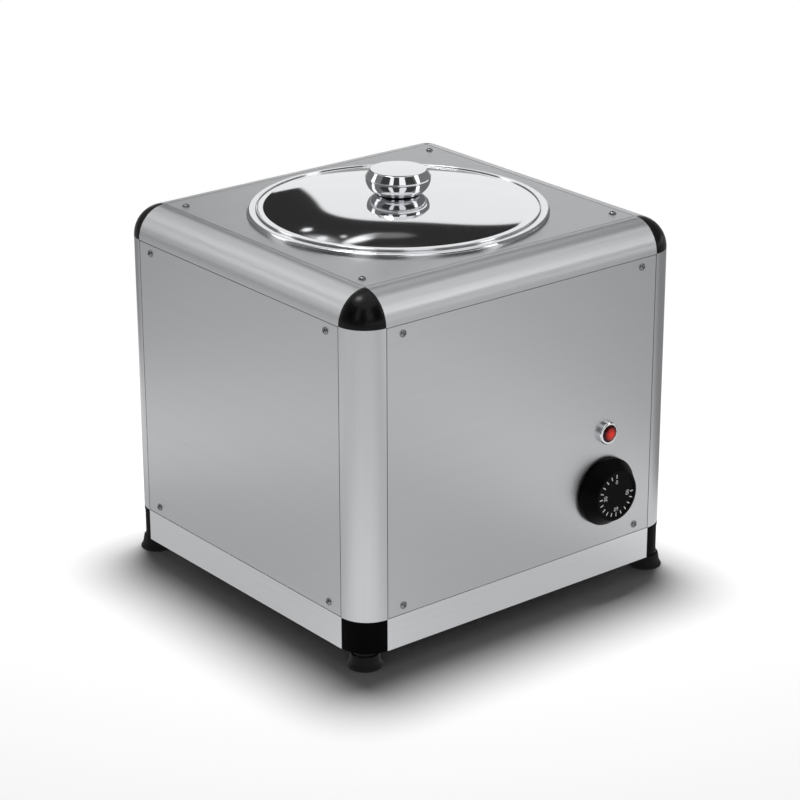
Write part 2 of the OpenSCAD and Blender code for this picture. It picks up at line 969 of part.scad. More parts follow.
// Moulded dial: bevelled skirt, tapered grip, rimmed front face for its scale, and a hub on the spindle
module dial_knob() {
    skirt_r = dial_d / 2;
    body_r = skirt_r - dial_bevel;
    face_r = dial_face_d / 2;
    z_skirt = dial_gap + dial_skirt_t;
    color("black")
        on_front(control_x, z_stat)
            difference() {
                rotate_extrude()
                    difference() {
                        polygon([
                            [0, dial_gap],
                            [skirt_r, dial_gap],
                            [skirt_r, z_skirt - dial_bevel],
                            [body_r, z_skirt],
                            [face_r, dial_h - dial_edge],
                            [face_r - dial_edge, dial_h],
                            [face_r - dial_edge - dial_rim_w, dial_h],
                            [face_r - dial_edge - dial_rim_w, dial_h - dial_recess],
                            [0, dial_h - dial_recess]
                        ]);
                        polygon([
                            [dial_hub_d / 2, 0],
                            [body_r - dial_wall, 0],
                            [body_r - dial_wall, z_skirt],
                            [face_r - dial_wall, dial_h - dial_face_t],
                            [dial_hub_d / 2, dial_h - dial_face_t]
                        ]);
                        block_2d([0, 0], [dial_hub_d, dial_hub_lift]);
                    }
                linear_extrude(height = dial_h - dial_face_t)
                    keyed_section(spindle_d / 2 + run_gap);
            }
}

// Chromed bezel with a threaded barrel through the panel
module lamp_bezel()
    color("whitesmoke")
        on_front(control_x, z_lamp)
            rotate_extrude()
                difference() {
                    union() {
                        flange_section(lamp_bezel_d / 2, lamp_rim_h, lamp_rim_edge);
                        block_2d([0, -panel_t - lamp_barrel_l], [lamp_barrel_d / 2, panel_t + lamp_barrel_l]);
                    }
                    block_2d([0, lamp_seat_h], [lamp_lens_r + run_gap, lamp_rim_h]);
                    block_2d([0, -panel_t - lamp_barrel_l - cut],
                        [lamp_bore_d / 2, panel_t + lamp_barrel_l + lamp_rim_h + cut]);
                }

// Red lens: a disc seated in the bezel, crowned in front, with a stem down the barrel
module lamp_lens()
    color("red")
        on_front(control_x, z_lamp)
            rotate_extrude()
                union() {
                    block_2d([0, lamp_seat_h], [lamp_lens_r, lamp_lens_h - lamp_seat_h]);
                    intersection() {
                        translate([0, lamp_lens_h + lamp_lens_crown - lamp_crown_ball_r])
                            circle(r = lamp_crown_ball_r);
                        block_2d([0, lamp_lens_h], [lamp_lens_r, lamp_lens_crown]);
                    }
                    block_2d([0, -lamp_stem_l], [lamp_stem_d / 2, lamp_stem_l + lamp_lens_h]);
                }

module lamp_nut()
    color("silver")
        on_front(control_x, z_lamp)
            translate([0, 0, -panel_t - lamp_nut_h])
                linear_extrude(height = lamp_nut_h)
                    difference() {
                        hexagon(lamp_nut_flats);
                        circle(d = lamp_barrel_d + 2 * run_gap);
                    }

// Gland body: hexagon against the rear panel, thread through it, and a collar that takes the dome nut
module cable_gland()
    color("dimgray")
        on_rear(gland_x, z_gland)
            difference() {
                union() {
                    linear_extrude(height = gland_flange_h)
                        hexagon(gland_flats);
                    translate([0, 0, -panel_t - gland_thread_l])
                        cylinder(d = gland_thread_d, h = panel_t + gland_thread_l);
                    cylinder(d = gland_collar_d, h = gland_seat);
                }
                translate([0, 0, -panel_t - gland_thread_l - cut])
                    cylinder(d = gland_bore_d, h = panel_t + gland_thread_l + gland_seat + 2 * cut);
            }

module gland_dome_nut() {
    z_nut = gland_flange_h + gland_nut_gap;
    z_dome = gland_reach - gland_dome_h;
    color("dimgray")
        on_rear(gland_x, z_gland)
            difference() {
                union() {
                    translate([0, 0, z_nut])
                        linear_extrude(height = z_dome - z_nut)
                            hexagon(gland_flats);
                    translate([0, 0, z_dome])
                        cylinder(d1 = gland_flats, d2 = gland_thread_d, h = gland_dome_h);
                }
                translate([0, 0, z_nut - cut])
                    cylinder(d = gland_collar_d + 2 * run_gap, h = gland_seat + gland_seal_h - z_nut + cut);
                translate([0, 0, z_nut])
                    cylinder(d = gland_mouth_d, h = gland_reach);
            }
}

// Rubber seal with a blind membrane, squeezed between the gland's collar and the dome nut
module gland_seal()
    color("black")
        on_rear(gland_x, z_gland)
            translate([0, 0, gland_seat])
                union() {
                    cylinder(d = gland_collar_d - 2 * lay_gap, h = gland_seal_h);
                    cylinder(d = gland_mouth_d - 2 * lay_gap, h = gland_seal_h + gland_seal_lip_h);
                }

module gland_locknut()
    color("dimgray")
        on_rear(gland_x, z_gland)
            translate([0, 0, -panel_t - gland_locknut_h])
                linear_extrude(height = gland_locknut_h)
                    difference() {
                        hexagon(gland_locknut_flats);
                        circle(d = gland_thread_d + 2 * run_gap);
                    }

// Terminal strip on the base sheet
module terminal_block() {
    pitch = terminal_w / terminal_poles;
    color("ivory")
        translate([terminal_x, terminal_y, z_base])
            difference() {
                translate([-terminal_w / 2, -terminal_d / 2, 0])
                    cube([terminal_w, terminal_d, terminal_h]);
                for (i = [0 : terminal_poles - 1])
                    translate([(i + 1 / 2) * pitch - terminal_w / 2, 0, terminal_h - terminal_screw_depth])
                        cylinder(d = terminal_screw_d, h = terminal_screw_depth + cut);
            }
}

module wire(points)
    bent_rod(points, wire_d, wire_bend_r);

// Wires from the terminal strip to the thermostat and the lamp, and from the cut-out to thermostat and heater
module wiring() {
    stat_back = sensor_y + stat_depth / 2;
    stat_lead_y = stat_back + wire_rise;
    lamp_lead_y = stat_lead_y + wire_step;
    stat_lead_x = control_x - wire_step;
    cutout_lead_x = control_x + wire_step;
    pole_y = terminal_y - terminal_d / 2;
    pole_z = z_base + terminal_h / 2;
    lamp_z_run = pole_z + 2 * wire_d;
    z_tab = z_well - cutout_h - cutout_tab_h;
    z_lead = z_tab - wire_rise;
    color("saddlebrown") {
        wire([
            [terminal_x + wire_step, pole_y, pole_z],
            [terminal_x + wire_step, stat_lead_y, pole_z],
            [stat_lead_x, stat_lead_y, pole_z],
            [stat_lead_x, stat_lead_y, z_stat],
            [stat_lead_x, stat_back, z_stat]
        ]);
        wire([
            [terminal_x - wire_step, pole_y, lamp_z_run],
            [terminal_x - wire_step, lamp_lead_y, lamp_z_run],
            [control_x, lamp_lead_y, lamp_z_run],
            [control_x, lamp_lead_y, z_lamp],
            [control_x, lamp_stem_l - half_d, z_lamp]
        ]);
        wire([
            [cutout_tab_pitch / 2, 0, z_tab],
            [cutout_tab_pitch / 2, 0, z_lead],
            [cutout_lead_x, 0, z_lead],
            [cutout_lead_x, stat_back, z_lead]
        ]);
        wire([
            [-cutout_tab_pitch / 2, 0, z_tab],
            [-cutout_tab_pitch / 2, 0, z_lead],
            [-heater_lead_r, 0, z_lead],
            [-heater_lead_r, 0, z_heater]
        ]);
    }
}

post(FRONT_LEFT);  // post_front_left
post(FRONT_RIGHT);  // post_front_right
post(REAR_LEFT);  // post_rear_left
post(REAR_RIGHT);  // post_rear_right
top_rail(FRONT);  // top_rail_front
top_rail(REAR);  // top_rail_rear
top_rail(LEFT);  // top_rail_left
top_rail(RIGHT);  // top_rail_right
plinth(FRONT);  // plinth_front
plinth(REAR);  // plinth_rear
plinth(LEFT);  // plinth_left
plinth(RIGHT);  // plinth_right
corner_cap(FRONT_LEFT);  // corner_cap_front_left
corner_cap(FRONT_RIGHT);  // corner_cap_front_right
corner_cap(REAR_LEFT);  // corner_cap_rear_left
corner_cap(REAR_RIGHT);  // corner_cap_rear_right
foot_socket(FRONT_LEFT);  // foot_socket_front_left
foot_socket(FRONT_RIGHT);  // foot_socket_front_right
foot_socket(REAR_LEFT);  // foot_socket_rear_left
foot_socket(REAR_RIGHT);  // foot_socket_rear_right
foot_nuts();
foot_screw(FRONT_LEFT);  // foot_screw_front_left
foot_screw(FRONT_RIGHT);  // foot_screw_front_right
foot_screw(REAR_LEFT);  // foot_screw_rear_left
foot_screw(REAR_RIGHT);  // foot_screw_rear_right
foot_pad(FRONT_LEFT);  // foot_pad_front_left
foot_pad(FRONT_RIGHT);  // foot_pad_front_right
foot_pad(REAR_LEFT);  // foot_pad_rear_left
foot_pad(REAR_RIGHT);  // foot_pad_rear_right
front_panel();
rear_panel();
left_panel();
right_panel();
top_panel();
base_panel();
panel_screws();
pot();
lid();
lid_knob();
lid_knob_screw();
well();
heater_band();
insulation_jacket();
insulation_base();
thermal_cutout();
thermostat();
thermostat_spindle();
thermostat_screws();
sensor_bulb();
dial_knob();
lamp_bezel();
lamp_lens();
lamp_nut();
cable_gland();
gland_dome_nut();
gland_seal();
gland_locknut();
terminal_block();
wiring();
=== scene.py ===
"""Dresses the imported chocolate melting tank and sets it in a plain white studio.

The pieces' sizes are in millimetres and angles in degrees. The studio's own lengths are in metres.
"""

import logging
import math
from dataclasses import dataclass, replace
from enum import Enum
from typing import Any, Iterable, Sequence

import bmesh
import bpy
from bpy.types import Material, Node, NodeSocket, NodeTree, Object
from mathutils import Matrix, Quaternion, Vector


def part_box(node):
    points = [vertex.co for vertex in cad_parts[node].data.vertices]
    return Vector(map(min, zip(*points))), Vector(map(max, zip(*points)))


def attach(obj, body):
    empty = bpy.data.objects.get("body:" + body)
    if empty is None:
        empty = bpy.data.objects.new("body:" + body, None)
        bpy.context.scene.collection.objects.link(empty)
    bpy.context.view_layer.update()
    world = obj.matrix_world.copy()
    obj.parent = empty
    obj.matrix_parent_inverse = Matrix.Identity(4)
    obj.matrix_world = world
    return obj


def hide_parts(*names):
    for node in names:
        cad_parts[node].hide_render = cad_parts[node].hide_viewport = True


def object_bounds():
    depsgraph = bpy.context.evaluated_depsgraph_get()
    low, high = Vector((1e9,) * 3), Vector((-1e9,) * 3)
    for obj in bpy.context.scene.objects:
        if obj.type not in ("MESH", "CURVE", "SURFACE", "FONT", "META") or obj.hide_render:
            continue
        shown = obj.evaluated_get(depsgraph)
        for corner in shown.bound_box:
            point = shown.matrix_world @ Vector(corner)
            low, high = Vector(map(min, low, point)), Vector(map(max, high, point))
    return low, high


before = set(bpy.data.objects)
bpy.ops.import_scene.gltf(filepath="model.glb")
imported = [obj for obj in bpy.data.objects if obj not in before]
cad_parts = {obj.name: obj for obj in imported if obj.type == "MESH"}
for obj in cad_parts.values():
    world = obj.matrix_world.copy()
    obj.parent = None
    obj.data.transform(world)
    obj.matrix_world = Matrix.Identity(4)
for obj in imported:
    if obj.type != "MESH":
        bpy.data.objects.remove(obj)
CAD_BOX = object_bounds()
NODES: dict[str, Object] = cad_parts

Point = tuple[float, float]
Colour = tuple[float, float, float, float]

LOG = logging.getLogger("melting_tank")
MM = 0.001
# Vertices closer than this are one vertex
WELD = 0.0005 * MM
# Facets round a turned piece, steps round a small corner, and the angle past which an edge stays sharp
TURN_STEPS = 128
CORNER_STEPS = 6
SMOOTH_ANGLE = math.radians(28)
# A face is a piece's flat end where its normal has at least this share along the axis
END_SHARE = 0.9
# Turn about the X axis that points a piece's top to the front
FACING_FRONT = math.radians(90)
# Noise keeps to its middle stretch, which this spreads over 0 to 1
NOISE_SPAN = {"From Min": 0.3, "From Max": 0.7}
CORNERS = ("front_left", "front_right", "rear_left", "rear_right")
SIDES = ("front", "rear", "left", "right")


class Axis(Enum):
    """The frame's axes, as the place of each in a vector."""

    X = 0
    Y = 1
    Z = 2


def linear(hex_colour: str) -> Colour:
    """Turns an sRGB hex colour into the linear colour that shaders take.

    Args:
        hex_colour: Six hex digits after a hash sign.

    Returns:
        Linear red, green, blue and an alpha of one.
    """
    parts = [int(hex_colour[i : i + 2], 16) / 255 for i in (1, 3, 5)]
    red, green, blue = (c / 12.92 if c <= 0.04045 else ((c + 0.055) / 1.055) ** 2.4 for c in parts)
    return (red, green, blue, 1.0)


def add_node(
    tree: NodeTree,
    kind: str,
    settings: dict[str | int, Any] | None = None,
    links: dict[str | int, NodeSocket] | None = None,
) -> Node:
    """Adds a shader node, sets its values and links its inputs.

    Args:
        tree: The material's or the world's node tree.
        kind: The node's type, without the ShaderNode that all of them start with.
        settings: Values by the name of a property, or by the name or number of an input.
        links: Output sockets by the name or number of the input that they feed.

    Returns:
        The new node.
    """
    node = tree.nodes.new("ShaderNode" + kind)
    for key, value in (settings or {}).items():
        if isinstance(key, str) and hasattr(node, key):
            setattr(node, key, value)
        else:
            node.inputs[key].default_value = value
    for key, socket in (links or {}).items():
        tree.links.new(socket, node.inputs[key])
    return node


@dataclass(frozen=True)
class Finish:
    """A surface: what a piece is made of and how its face was made.

    The pattern runs from 0 to 1 over the surface. It moves the colour from one tone to the other, the
    roughness up and down by half its swing, and the face itself by the relief.
    """

    name: str
    colour: str
    tone: str
    roughness: float
    swing: float = 0.0
    metallic: float = 0.0
    relief_mm: float = 0.0
    specular: float = 0.5

    def pattern(self, tree: NodeTree) -> NodeSocket:
        """Adds the surface's pattern to its node tree and gives the socket that runs from 0 to 1."""
        raise NotImplementedError

    def material(self) -> Material:
        """Makes the material, once.

        Returns:
            The material with its colour, roughness and relief driven by the pattern.
        """
        made = bpy.data.materials.get(self.name)
        if made:
            return made
        made = bpy.data.materials.new(self.name)
        made.use_nodes = True
        tree = made.node_tree
        shader = tree.nodes["Principled BSDF"]
        shader.inputs["Metallic"].default_value = self.metallic
        shader.inputs["Specular IOR Level"].default_value = self.specular
        height = self.pattern(tree)
        tones = {"data_type": "RGBA", 6: linear(self.colour), 7: linear(self.tone)}
        mix = add_node(tree, "Mix", tones, {0: height})
        tree.links.new(mix.outputs[2], shader.inputs["Base Color"])
        span = {"To Min": self.roughness - self.swing / 2, "To Max": self.roughness + self.swing / 2}
        rough = add_node(tree, "MapRange", span, {"Value": height})
        tree.links.new(rough.outputs[0], shader.inputs["Roughness"])
        if self.relief_mm:
            bump = add_node(tree, "Bump", {"Distance": self.relief_mm * MM}, {"Height": height})
            tree.links.new(bump.outputs[0], shader.inputs["Normal"])
        return made


@dataclass(frozen=True)
class Grained(Finish):
    """A finish with a grain of one size, stretched along the frame's axes where it lies one way.

    Its detail is the number of finer grains within it, and its fineness is how strongly they show.
    """

    grain_mm: float = 1.0
    stretch: tuple[float, float, float] = (1.0, 1.0, 1.0)
    detail: float = 3.0
    fineness: float = 0.55

    def pattern(self, tree: NodeTree) -> NodeSocket:
        """Stretches noise to the grain's sizes.

        Args:
            tree: The material's node tree.

        Returns:
            The noise, spread over 0 to 1.
        """
        place = add_node(tree, "TexCoord")
        scale = tuple(1 / (self.grain_mm * longer * MM) for longer in self.stretch)
        grid = add_node(tree, "Mapping", {"Scale": scale}, {"Vector": place.outputs["Object"]})
        noise = {"Scale": 1.0, "Detail": self.detail, "Roughness": self.fineness}
        grain = add_node(tree, "TexNoise", noise, {"Vector": grid.outputs[0]})
        return add_node(tree, "MapRange", NOISE_SPAN, {"Value": grain.outputs[0]}).outputs[0]


@dataclass(frozen=True)
class Spangled(Finish):
    """A hot-dip finish whose zinc froze in flat crystals."""

    crystal_mm: float = 9.0

    def pattern(self, tree: NodeTree) -> NodeSocket:
        """Gives each crystal a tone of its own.

        Args:
            tree: The material's node tree.

        Returns:
            One value for each crystal.
        """
        place = add_node(tree, "TexCoord")
        cells = {"Scale": 1 / (self.crystal_mm * MM)}
        crystals = add_node(tree, "TexVoronoi", cells, {"Vector": place.outputs["Object"]})
        grey = add_node(tree, "RGBToBW", {}, {"Color": crystals.outputs["Color"]})
        return grey.outputs[0]


@dataclass(frozen=True)
class Turned(Finish):
    """A finish with rings round an upright axis, as a polishing or spinning wheel leaves them."""

    ring_mm: float = 1.0
    detail: float = 4.0

    def pattern(self, tree: NodeTree) -> NodeSocket:
        """Runs noise outwards from the axis, so that it makes rings.

        Args:
            tree: The material's node tree.

        Returns:
            The rings, spread over 0 to 1.
        """
        place = add_node(tree, "TexCoord")
        flat = add_node(tree, "Mapping", {"Scale": (1.0, 1.0, 0.0)}, {"Vector": place.outputs["Object"]})
        reach = add_node(tree, "VectorMath", {"operation": "LENGTH"}, {0: flat.outputs[0]})
        noise = {"noise_dimensions": "1D", "Scale": 1 / (self.ring_mm * MM), "Detail": self.detail}
        rings = add_node(tree, "TexNoise", noise, {"W": reach.outputs["Value"]})
        return add_node(tree, "MapRange", NOISE_SPAN, {"Value": rings.outputs[0]}).outputs[0]


@dataclass(frozen=True)
class DrawnMetal:
    """A metal with fine straight lines along one axis, as a die, a roller or a belt leaves them.

    Real lines are about 0.1 mm apart. They are drawn wider, so that they just show in the render.
    """

    name: str
    colour: str
    tone: str
    roughness: float
    line_depth_mm: float
    line_w_mm: float = 0.9
    line_l_mm: float = 160.0
    swing: float = 0.04

    def along(self, axis: Axis) -> Grained:
        """Lays the lines along an axis.

        Args:
            axis: The axis that they follow.

        Returns:
            The finish, named for the metal and the axis.
        """
        stretch = [1.0, 1.0, 1.0]
        stretch[axis.value] = self.line_l_mm / self.line_w_mm
        return Grained(
            f"{self.name}_{axis.name.lower()}",
            self.colour,
            self.tone,
            self.roughness,
            self.swing,
            metallic=1.0,
            relief_mm=self.line_depth_mm,
            grain_mm=self.line_w_mm,
            stretch=tuple(stretch),
        )


# Anodised extrusion: pale and even, with a soft sheen and faint die lines along it
EXTRUSION = DrawnMetal("aluminium_extruded_anodised", "#C5C6C8", "#C2C3C5", 0.32, 0.002)
# Anodised plinth rail: the same metal, flatter in its sheen, its colour painted a little paler as painted
# light
LIT_PLINTH_RAIL = DrawnMetal("aluminium_plinth_painted_light", "#DADBDD", "#D6D7D9", 0.36, 0.002)
# Satin rolled sheet: mid grey, with broad soft reflections and a hardly visible grain
ROLLED_SHEET = DrawnMetal("steel_sheet_satin_rolled", "#C1C2C4", "#BFC0C2", 0.33, 0.001)
# The top's satin sheet: the same metal, a little smoother, its colour painted a shade darker as painted
# shade
SHADED_TOP_SHEET = DrawnMetal("steel_sheet_satin_painted_shade", "#B4B5B7", "#B2B3B5", 0.31, 0.001)
# Hot-dip galvanised sheet: dull, with crystals of slightly different grey
GALVANISED = Spangled("steel_sheet_galvanised", "#A6AAAD", "#8D9296", 0.45, 0.12, metallic=1.0)
# Moulded ABS with a fine spark-eroded grain: deep black, semi-gloss, one soft highlight
BLACK_ABS = Grained(
    "abs_moulded_black", "#050506", "#080809", 0.24, 0.04, relief_mm=0.003, specular=0.2, grain_mm=0.8
)
# The same plastic out of a coarser mould: flat black with hardly a sheen
MATT_ABS = Grained(
    "abs_moulded_matt", "#050506", "#0A0A0B", 0.55, 0.06, relief_mm=0.004, specular=0.03, grain_mm=0.9
)
# Moulded nylon: black, but a shade greyer and duller than the glossy ABS
BLACK_NYLON = Grained(
    "nylon_moulded_black", "#0B0B0C", "#111112", 0.42, 0.08, relief_mm=0.004, specular=0.2
)
# Vulcanised rubber: matt black, greyed a little where dust sits in its grain
RUBBER = Grained(
    "rubber_vulcanised_black", "#0D0D0E", "#161617", 0.62, 0.12, relief_mm=0.02, specular=0.2, grain_mm=1.6
)
# Zinc plate over turned steel: bright grey with a cool cast and a fine mottle
ZINC = Grained("steel_zinc_plated", "#C9CCCF", "#B4B8BC", 0.28, 0.10, metallic=1.0, grain_mm=1.5)
# Stainless screws, tumbled smooth, with small sharp highlights: their colour painted darker than the sheet
# round them, as painted shade
SHADED_SCREW_STEEL = Grained(
    "steel_stainless_painted_dark", "#8C8D90", "#7C7D80", 0.12, 0.04, metallic=1.0, grain_mm=0.7
)
# Stainless sheet, mirror polished on a wheel: reflections stay sharp, faint rings dull them a little
MIRROR_STEEL = Turned("steel_stainless_mirror", "#E9EAEC", "#E7E8EA", 0.05, 0.01, metallic=1.0, ring_mm=1.2)
# Stainless pot, spun and then polished: bright, its reflections softened by the rings that are left
SPUN_STEEL = Turned("steel_stainless_spun", "#E9EAEC", "#E4E5E7", 0.14, 0.03, metallic=1.0, ring_mm=0.9)
# Bright chrome plate over a polished casting: sharp reflections, nearly as bright as what they show
CHROME = Turned("zinc_casting_chromed", "#ECEDEF", "#E6E7EA", 0.04, 0.02, metallic=1.0, ring_mm=0.8)
# The same plate over a small brass turning: a touch softer
CHROME_BEZEL = Grained("brass_chromed", "#EDEEF0", "#E4E5E8", 0.06, 0.03, metallic=1.0, grain_mm=2.0)
# Spun aluminium, left bare: paler and duller than the steel
SPUN_ALUMINIUM = Turned("aluminium_spun_bare", "#C4C6C8", "#B2B4B7", 0.36, 0.12, metallic=1.0, ring_mm=1.4)
# Silicone mat over glass cloth: matt terracotta with the cloth's weave pressed through
SILICONE = Grained(
    "silicone_mat_glass_backed", "#A84F33", "#93402A", 0.7, 0.1, relief_mm=0.08, grain_mm=1.6
)
# Mineral wool board: straw yellow, matt, with short fibres lying flat
WOOL = Grained(
    "mineral_wool_pressed", "#B9A16B", "#8F7A4C", 0.95, 0.05, relief_mm=0.5, grain_mm=5.0,
    stretch=(1.0, 1.0, 0.24), detail=6.0,
)
# Phenolic moulding: brown black and glossy, faintly marbled
PHENOLIC = Grained("phenolic_moulded_brown", "#2A1B14", "#1C120E", 0.35, 0.1, grain_mm=4.0)
# Drawn copper tube, handled: warm, with browner patches
COPPER = Grained("copper_drawn", "#D08A63", "#A9653F", 0.3, 0.15, metallic=1.0, grain_mm=6.0)
# Moulded thermoset dial: the deepest black of all, with only a faint sheen
DIAL_BLACK = Grained(
    "thermoset_moulded_black", "#030304", "#060607", 0.40, 0.06, specular=0.05, grain_mm=3.0
)
# Pad-printed ink: off-white and matt, a little thin in places
WHITE_INK = Grained("ink_pad_printed_white", "#FAFAF8", "#E2E2E0", 0.6, 0.1, grain_mm=0.8)
# Natural nylon terminal strip: milky white
NATURAL_NYLON = Grained("nylon_moulded_natural", "#E3DECF", "#D6D0BE", 0.45, 0.1, grain_mm=3.0)
# Extruded PVC wire covering: smooth grey
PVC = Grained("pvc_extruded_grey", "#5B5F66", "#4E5259", 0.4, 0.1, grain_mm=8.0)


@dataclass(frozen=True)
class LitLens(Finish):
    """A clear lens with a lamp behind its middle, whose light fades between two shares of its radius; its
    colour is painted darker over the same span, as painted shade.
    """

    centre: tuple[float, float, float] = (0.0, 0.0, 0.0)
    radius_mm: float = 6.0
    lit_share: float = 0.2
    dark_share: float = 0.8
    glow: str = "#FF3A22"
    glow_edge: str = "#180203"
    emission: float = 0.5

    def pattern(self, tree: NodeTree) -> NodeSocket:
        """Fades the lens's colour from its middle to its edge, as painted shade, and lights the middle.

        Args:
            tree: The material's node tree.

        Returns:
            0 in the lit middle and 1 towards the dark edge.
        """
        place = add_node(tree, "TexCoord")
        offset = {"operation": "DISTANCE", 1: self.centre}
        reach = add_node(tree, "VectorMath", offset, {0: place.outputs["Object"]})
        radius = self.radius_mm * MM
        fade = {"From Min": self.lit_share * radius, "From Max": self.dark_share * radius}
        edge = add_node(tree, "MapRange", fade, {"Value": reach.outputs["Value"]})
        tones = {"data_type": "RGBA", 6: linear(self.glow), 7: linear(self.glow_edge)}
        light = add_node(tree, "Mix", tones, {0: edge.outputs[0]})
        shader = tree.nodes["Principled BSDF"]
        shader.inputs["Emission Strength"].default_value = self.emission
        tree.links.new(light.outputs[2], shader.inputs["Emission Color"])
        return edge.outputs[0]


# Clear red acrylic, cut and polished: bright red over its lamp, its colour painted nearly black towards its
# edge as painted shade
RED_ACRYLIC = LitLens("acrylic_cut_red", "#B01510", "#30040A", 0.16, specular=0.25)


def dress(nodes: Iterable[str], finish: Finish) -> None:
    """Puts a finish on CAD nodes.

    Args:
        nodes: The nodes' names.
        finish: What their faces get.
    """
    material = finish.material()
    for name in nodes:
        for slot in NODES[name].material_slots:
            slot.material = material
        LOG.info("node %s: %s", name, finish.name)


def start_piece() -> None:
    """Leaves nothing selected, so that the next operator acts on the new piece alone."""
    for other in bpy.context.selected_objects:
        other.select_set(False)


def choose(*pieces: Object) -> None:
    """Selects these pieces alone and makes the first one active.

    Args:
        pieces: What the next operator acts on.
    """
    start_piece()
    for piece in pieces:
        piece.select_set(True)
    bpy.context.view_layer.objects.active = pieces[0]


def copied(piece: Object) -> Object:
    """Copies a piece.

    Args:
        piece: The piece.

    Returns:
        The copy, with a mesh of its own.
    """
    copy = piece.copy()
    copy.data = piece.data.copy()
    bpy.context.scene.collection.objects.link(copy)
    return copy


def joined(name: str, pieces: Sequence[Object]) -> Object:
    """Makes one piece of several.

    Args:
        name: Name of the piece.
        pieces: What it is made of, each in its place.

    Returns:
        The piece, its object at the origin.
    """
    choose(*pieces)
    bpy.ops.object.transform_apply()
    bpy.ops.object.join()
    piece = bpy.context.object
    piece.name = name
    return piece


def on_axis(node: str, along: Axis, rise: float = 0.0) -> Vector:
    """Finds a point on the middle line of a node's box.

    Args:
        node: The node's name.
        along: The line's direction.
        rise: Distance of the point from the line's lower end, in millimetres.

    Returns:
        The point, in metres.
    """
    low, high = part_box(node)
    point = (low + high) / 2
    point[along.value] = low[along.value] + rise * MM
    return point


def select_end(piece: Object, way: float) -> None:
    """Selects a piece's flat end on one side.

    Args:
        piece: The piece, in edit mode.
        way: 1 for the upper end and -1 for the lower one.
    """
    bpy.ops.mesh.select_all(action="DESELECT")
    mesh = bmesh.from_edit_mesh(piece.data)
    ends = (face for face in mesh.faces if face.normal.z * way > END_SHARE)
    max(ends, key=lambda face: face.calc_area()).select_set(True)
    bmesh.update_edit_mesh(piece.data)


def close_up() -> None:
    """Merges doubled vertices, points all faces outwards and leaves edit mode."""
    bpy.ops.mesh.select_all(action="SELECT")
    bpy.ops.mesh.remove_doubles(threshold=WELD)
    bpy.ops.mesh.normals_make_consistent(inside=False)
    bpy.ops.object.mode_set(mode="OBJECT")


def arc(centre: Point, radius: float, start: float, end: float, steps: int) -> list[Point]:
    """Points along an arc of a section.

    Args:
        centre: Its centre, as radius and height in millimetres.
        radius: Its radius in millimetres.
        start: Angle of its first point in degrees, 0 outwards and 90 up.
        end: Angle of its last point in degrees.
        steps: Number of steps between them.

    Returns:
        The points, both ends included.
    """
    angles = [math.radians(start + (end - start) * i / steps) for i in range(steps + 1)]
    return [(centre[0] + radius * math.cos(a), centre[1] + radius * math.sin(a)) for a in angles]


def ball_radius(half_width: float, rise: float) -> float:
    """Radius of a ball from the half width and the rise of a cap cut from it."""
    return (half_width**2 + rise**2) / (2 * rise)


def rounded(corners: Sequence[tuple[float, ...]]) -> list[Point]:
    """Rounds those corners of a section that have a radius for it.

    Args:
        corners: Radius and height of each corner in millimetres, and the radius of its rounding, if any.

    Returns:
        The section's points, with an arc for each rounding.
    """
    points = []
    for i, (r, z, *edge) in enumerate(corners):
        if not edge:
            points.append((r, z))
            continue
        radius = edge[0]
        here = Vector((r, z))
        back = (Vector(corners[i - 1][:2]) - here).normalized()
        on = (Vector(corners[i + 1][:2]) - here).normalized()
        half = back.angle(on) / 2
        centre = here + (back + on).normalized() * radius / math.sin(half)
        first = here + back * radius / math.tan(half) - centre
        last = here + on * radius / math.tan(half) - centre
        for step in range(CORNER_STEPS + 1):
            spoke = first.slerp(last, step / CORNER_STEPS) * radius
            points.append((centre.x + spoke.x, centre.y + spoke.y))
    return points


def draw_line(name: str, points: Sequence[Point]) -> Object:
    """Draws a line through points of a section.

    Args:
        name: Name of the new piece.
        points: The points in order, as radius and height in millimetres.

    Returns:
        The piece, in edit mode with the whole line selected.
    """
    start_piece()
    bpy.ops.mesh.primitive_plane_add(size=MM)
    piece = bpy.context.object
    piece.name = name
    bpy.ops.object.mode_set(mode="EDIT")
    bpy.ops.mesh.merge(type="CENTER")
    bpy.ops.transform.translate(value=(points[0][0] * MM, 0.0, points[0][1] * MM))
    for last, here in zip(points, points[1:]):
        step = ((here[0] - last[0]) * MM, 0.0, (here[1] - last[1]) * MM)
        bpy.ops.mesh.extrude_region_move(TRANSFORM_OT_translate={"value": step})
    bpy.ops.mesh.select_all(action="SELECT")
    return piece


def turn(name: str, section: Sequence[Point], steps: int = TURN_STEPS) -> Object:
    """Turns a closed section round the Z axis, as on a lathe.

    Args:
        name: Name of the new piece.
        section: Its corners in order, as radius and height in millimetres.
        steps: Facets round the turn.

    Returns:
        The closed piece, its faces pointing outwards.
    """
    piece = draw_line(name, [*section, section[0]])
    bpy.ops.mesh.remove_doubles(threshold=WELD)
    bpy.ops.mesh.spin(steps=steps, angle=math.tau, center=(0, 0, 0), axis=(0, 0, 1))
    close_up()
    bpy.ops.object.shade_smooth_by_angle(angle=SMOOTH_ANGLE)
    return piece


def settle(piece: Object, place: Vector, turn_x: float = 0.0) -> None:
    """Moves a piece to its place and leaves its object at the origin, unturned.

    Args:
        piece: The piece, modelled round the Z axis.
        place: Where its own origin goes, in metres.
        turn_x: How far it turns about the X axis first, in radians.
    """
    choose(piece)
    piece.rotation_euler = (turn_x, 0.0, 0.0)
    piece.location = place
    bpy.ops.object.transform_apply()


def hand_over(piece: Object, finish: Finish, body: str, slot: str, *nodes: str) -> None:
    """Gives a new piece its finish, the body that it moves with and the nodes that it stands for.

    Args:
        piece: The piece.
        finish: What its faces get.
        body: The CAD body that carries it.
        slot: The record's material slot for it; not used.
        nodes: The CAD nodes that it stands for.
    """
    piece.data.materials.clear()
    piece.data.materials.append(finish.material())
    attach(piece, body)
    if nodes:
        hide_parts(*nodes)
    LOG.info("piece %s on %s: %s, %d faces", piece.name, body, finish.name, len(piece.data.polygons))


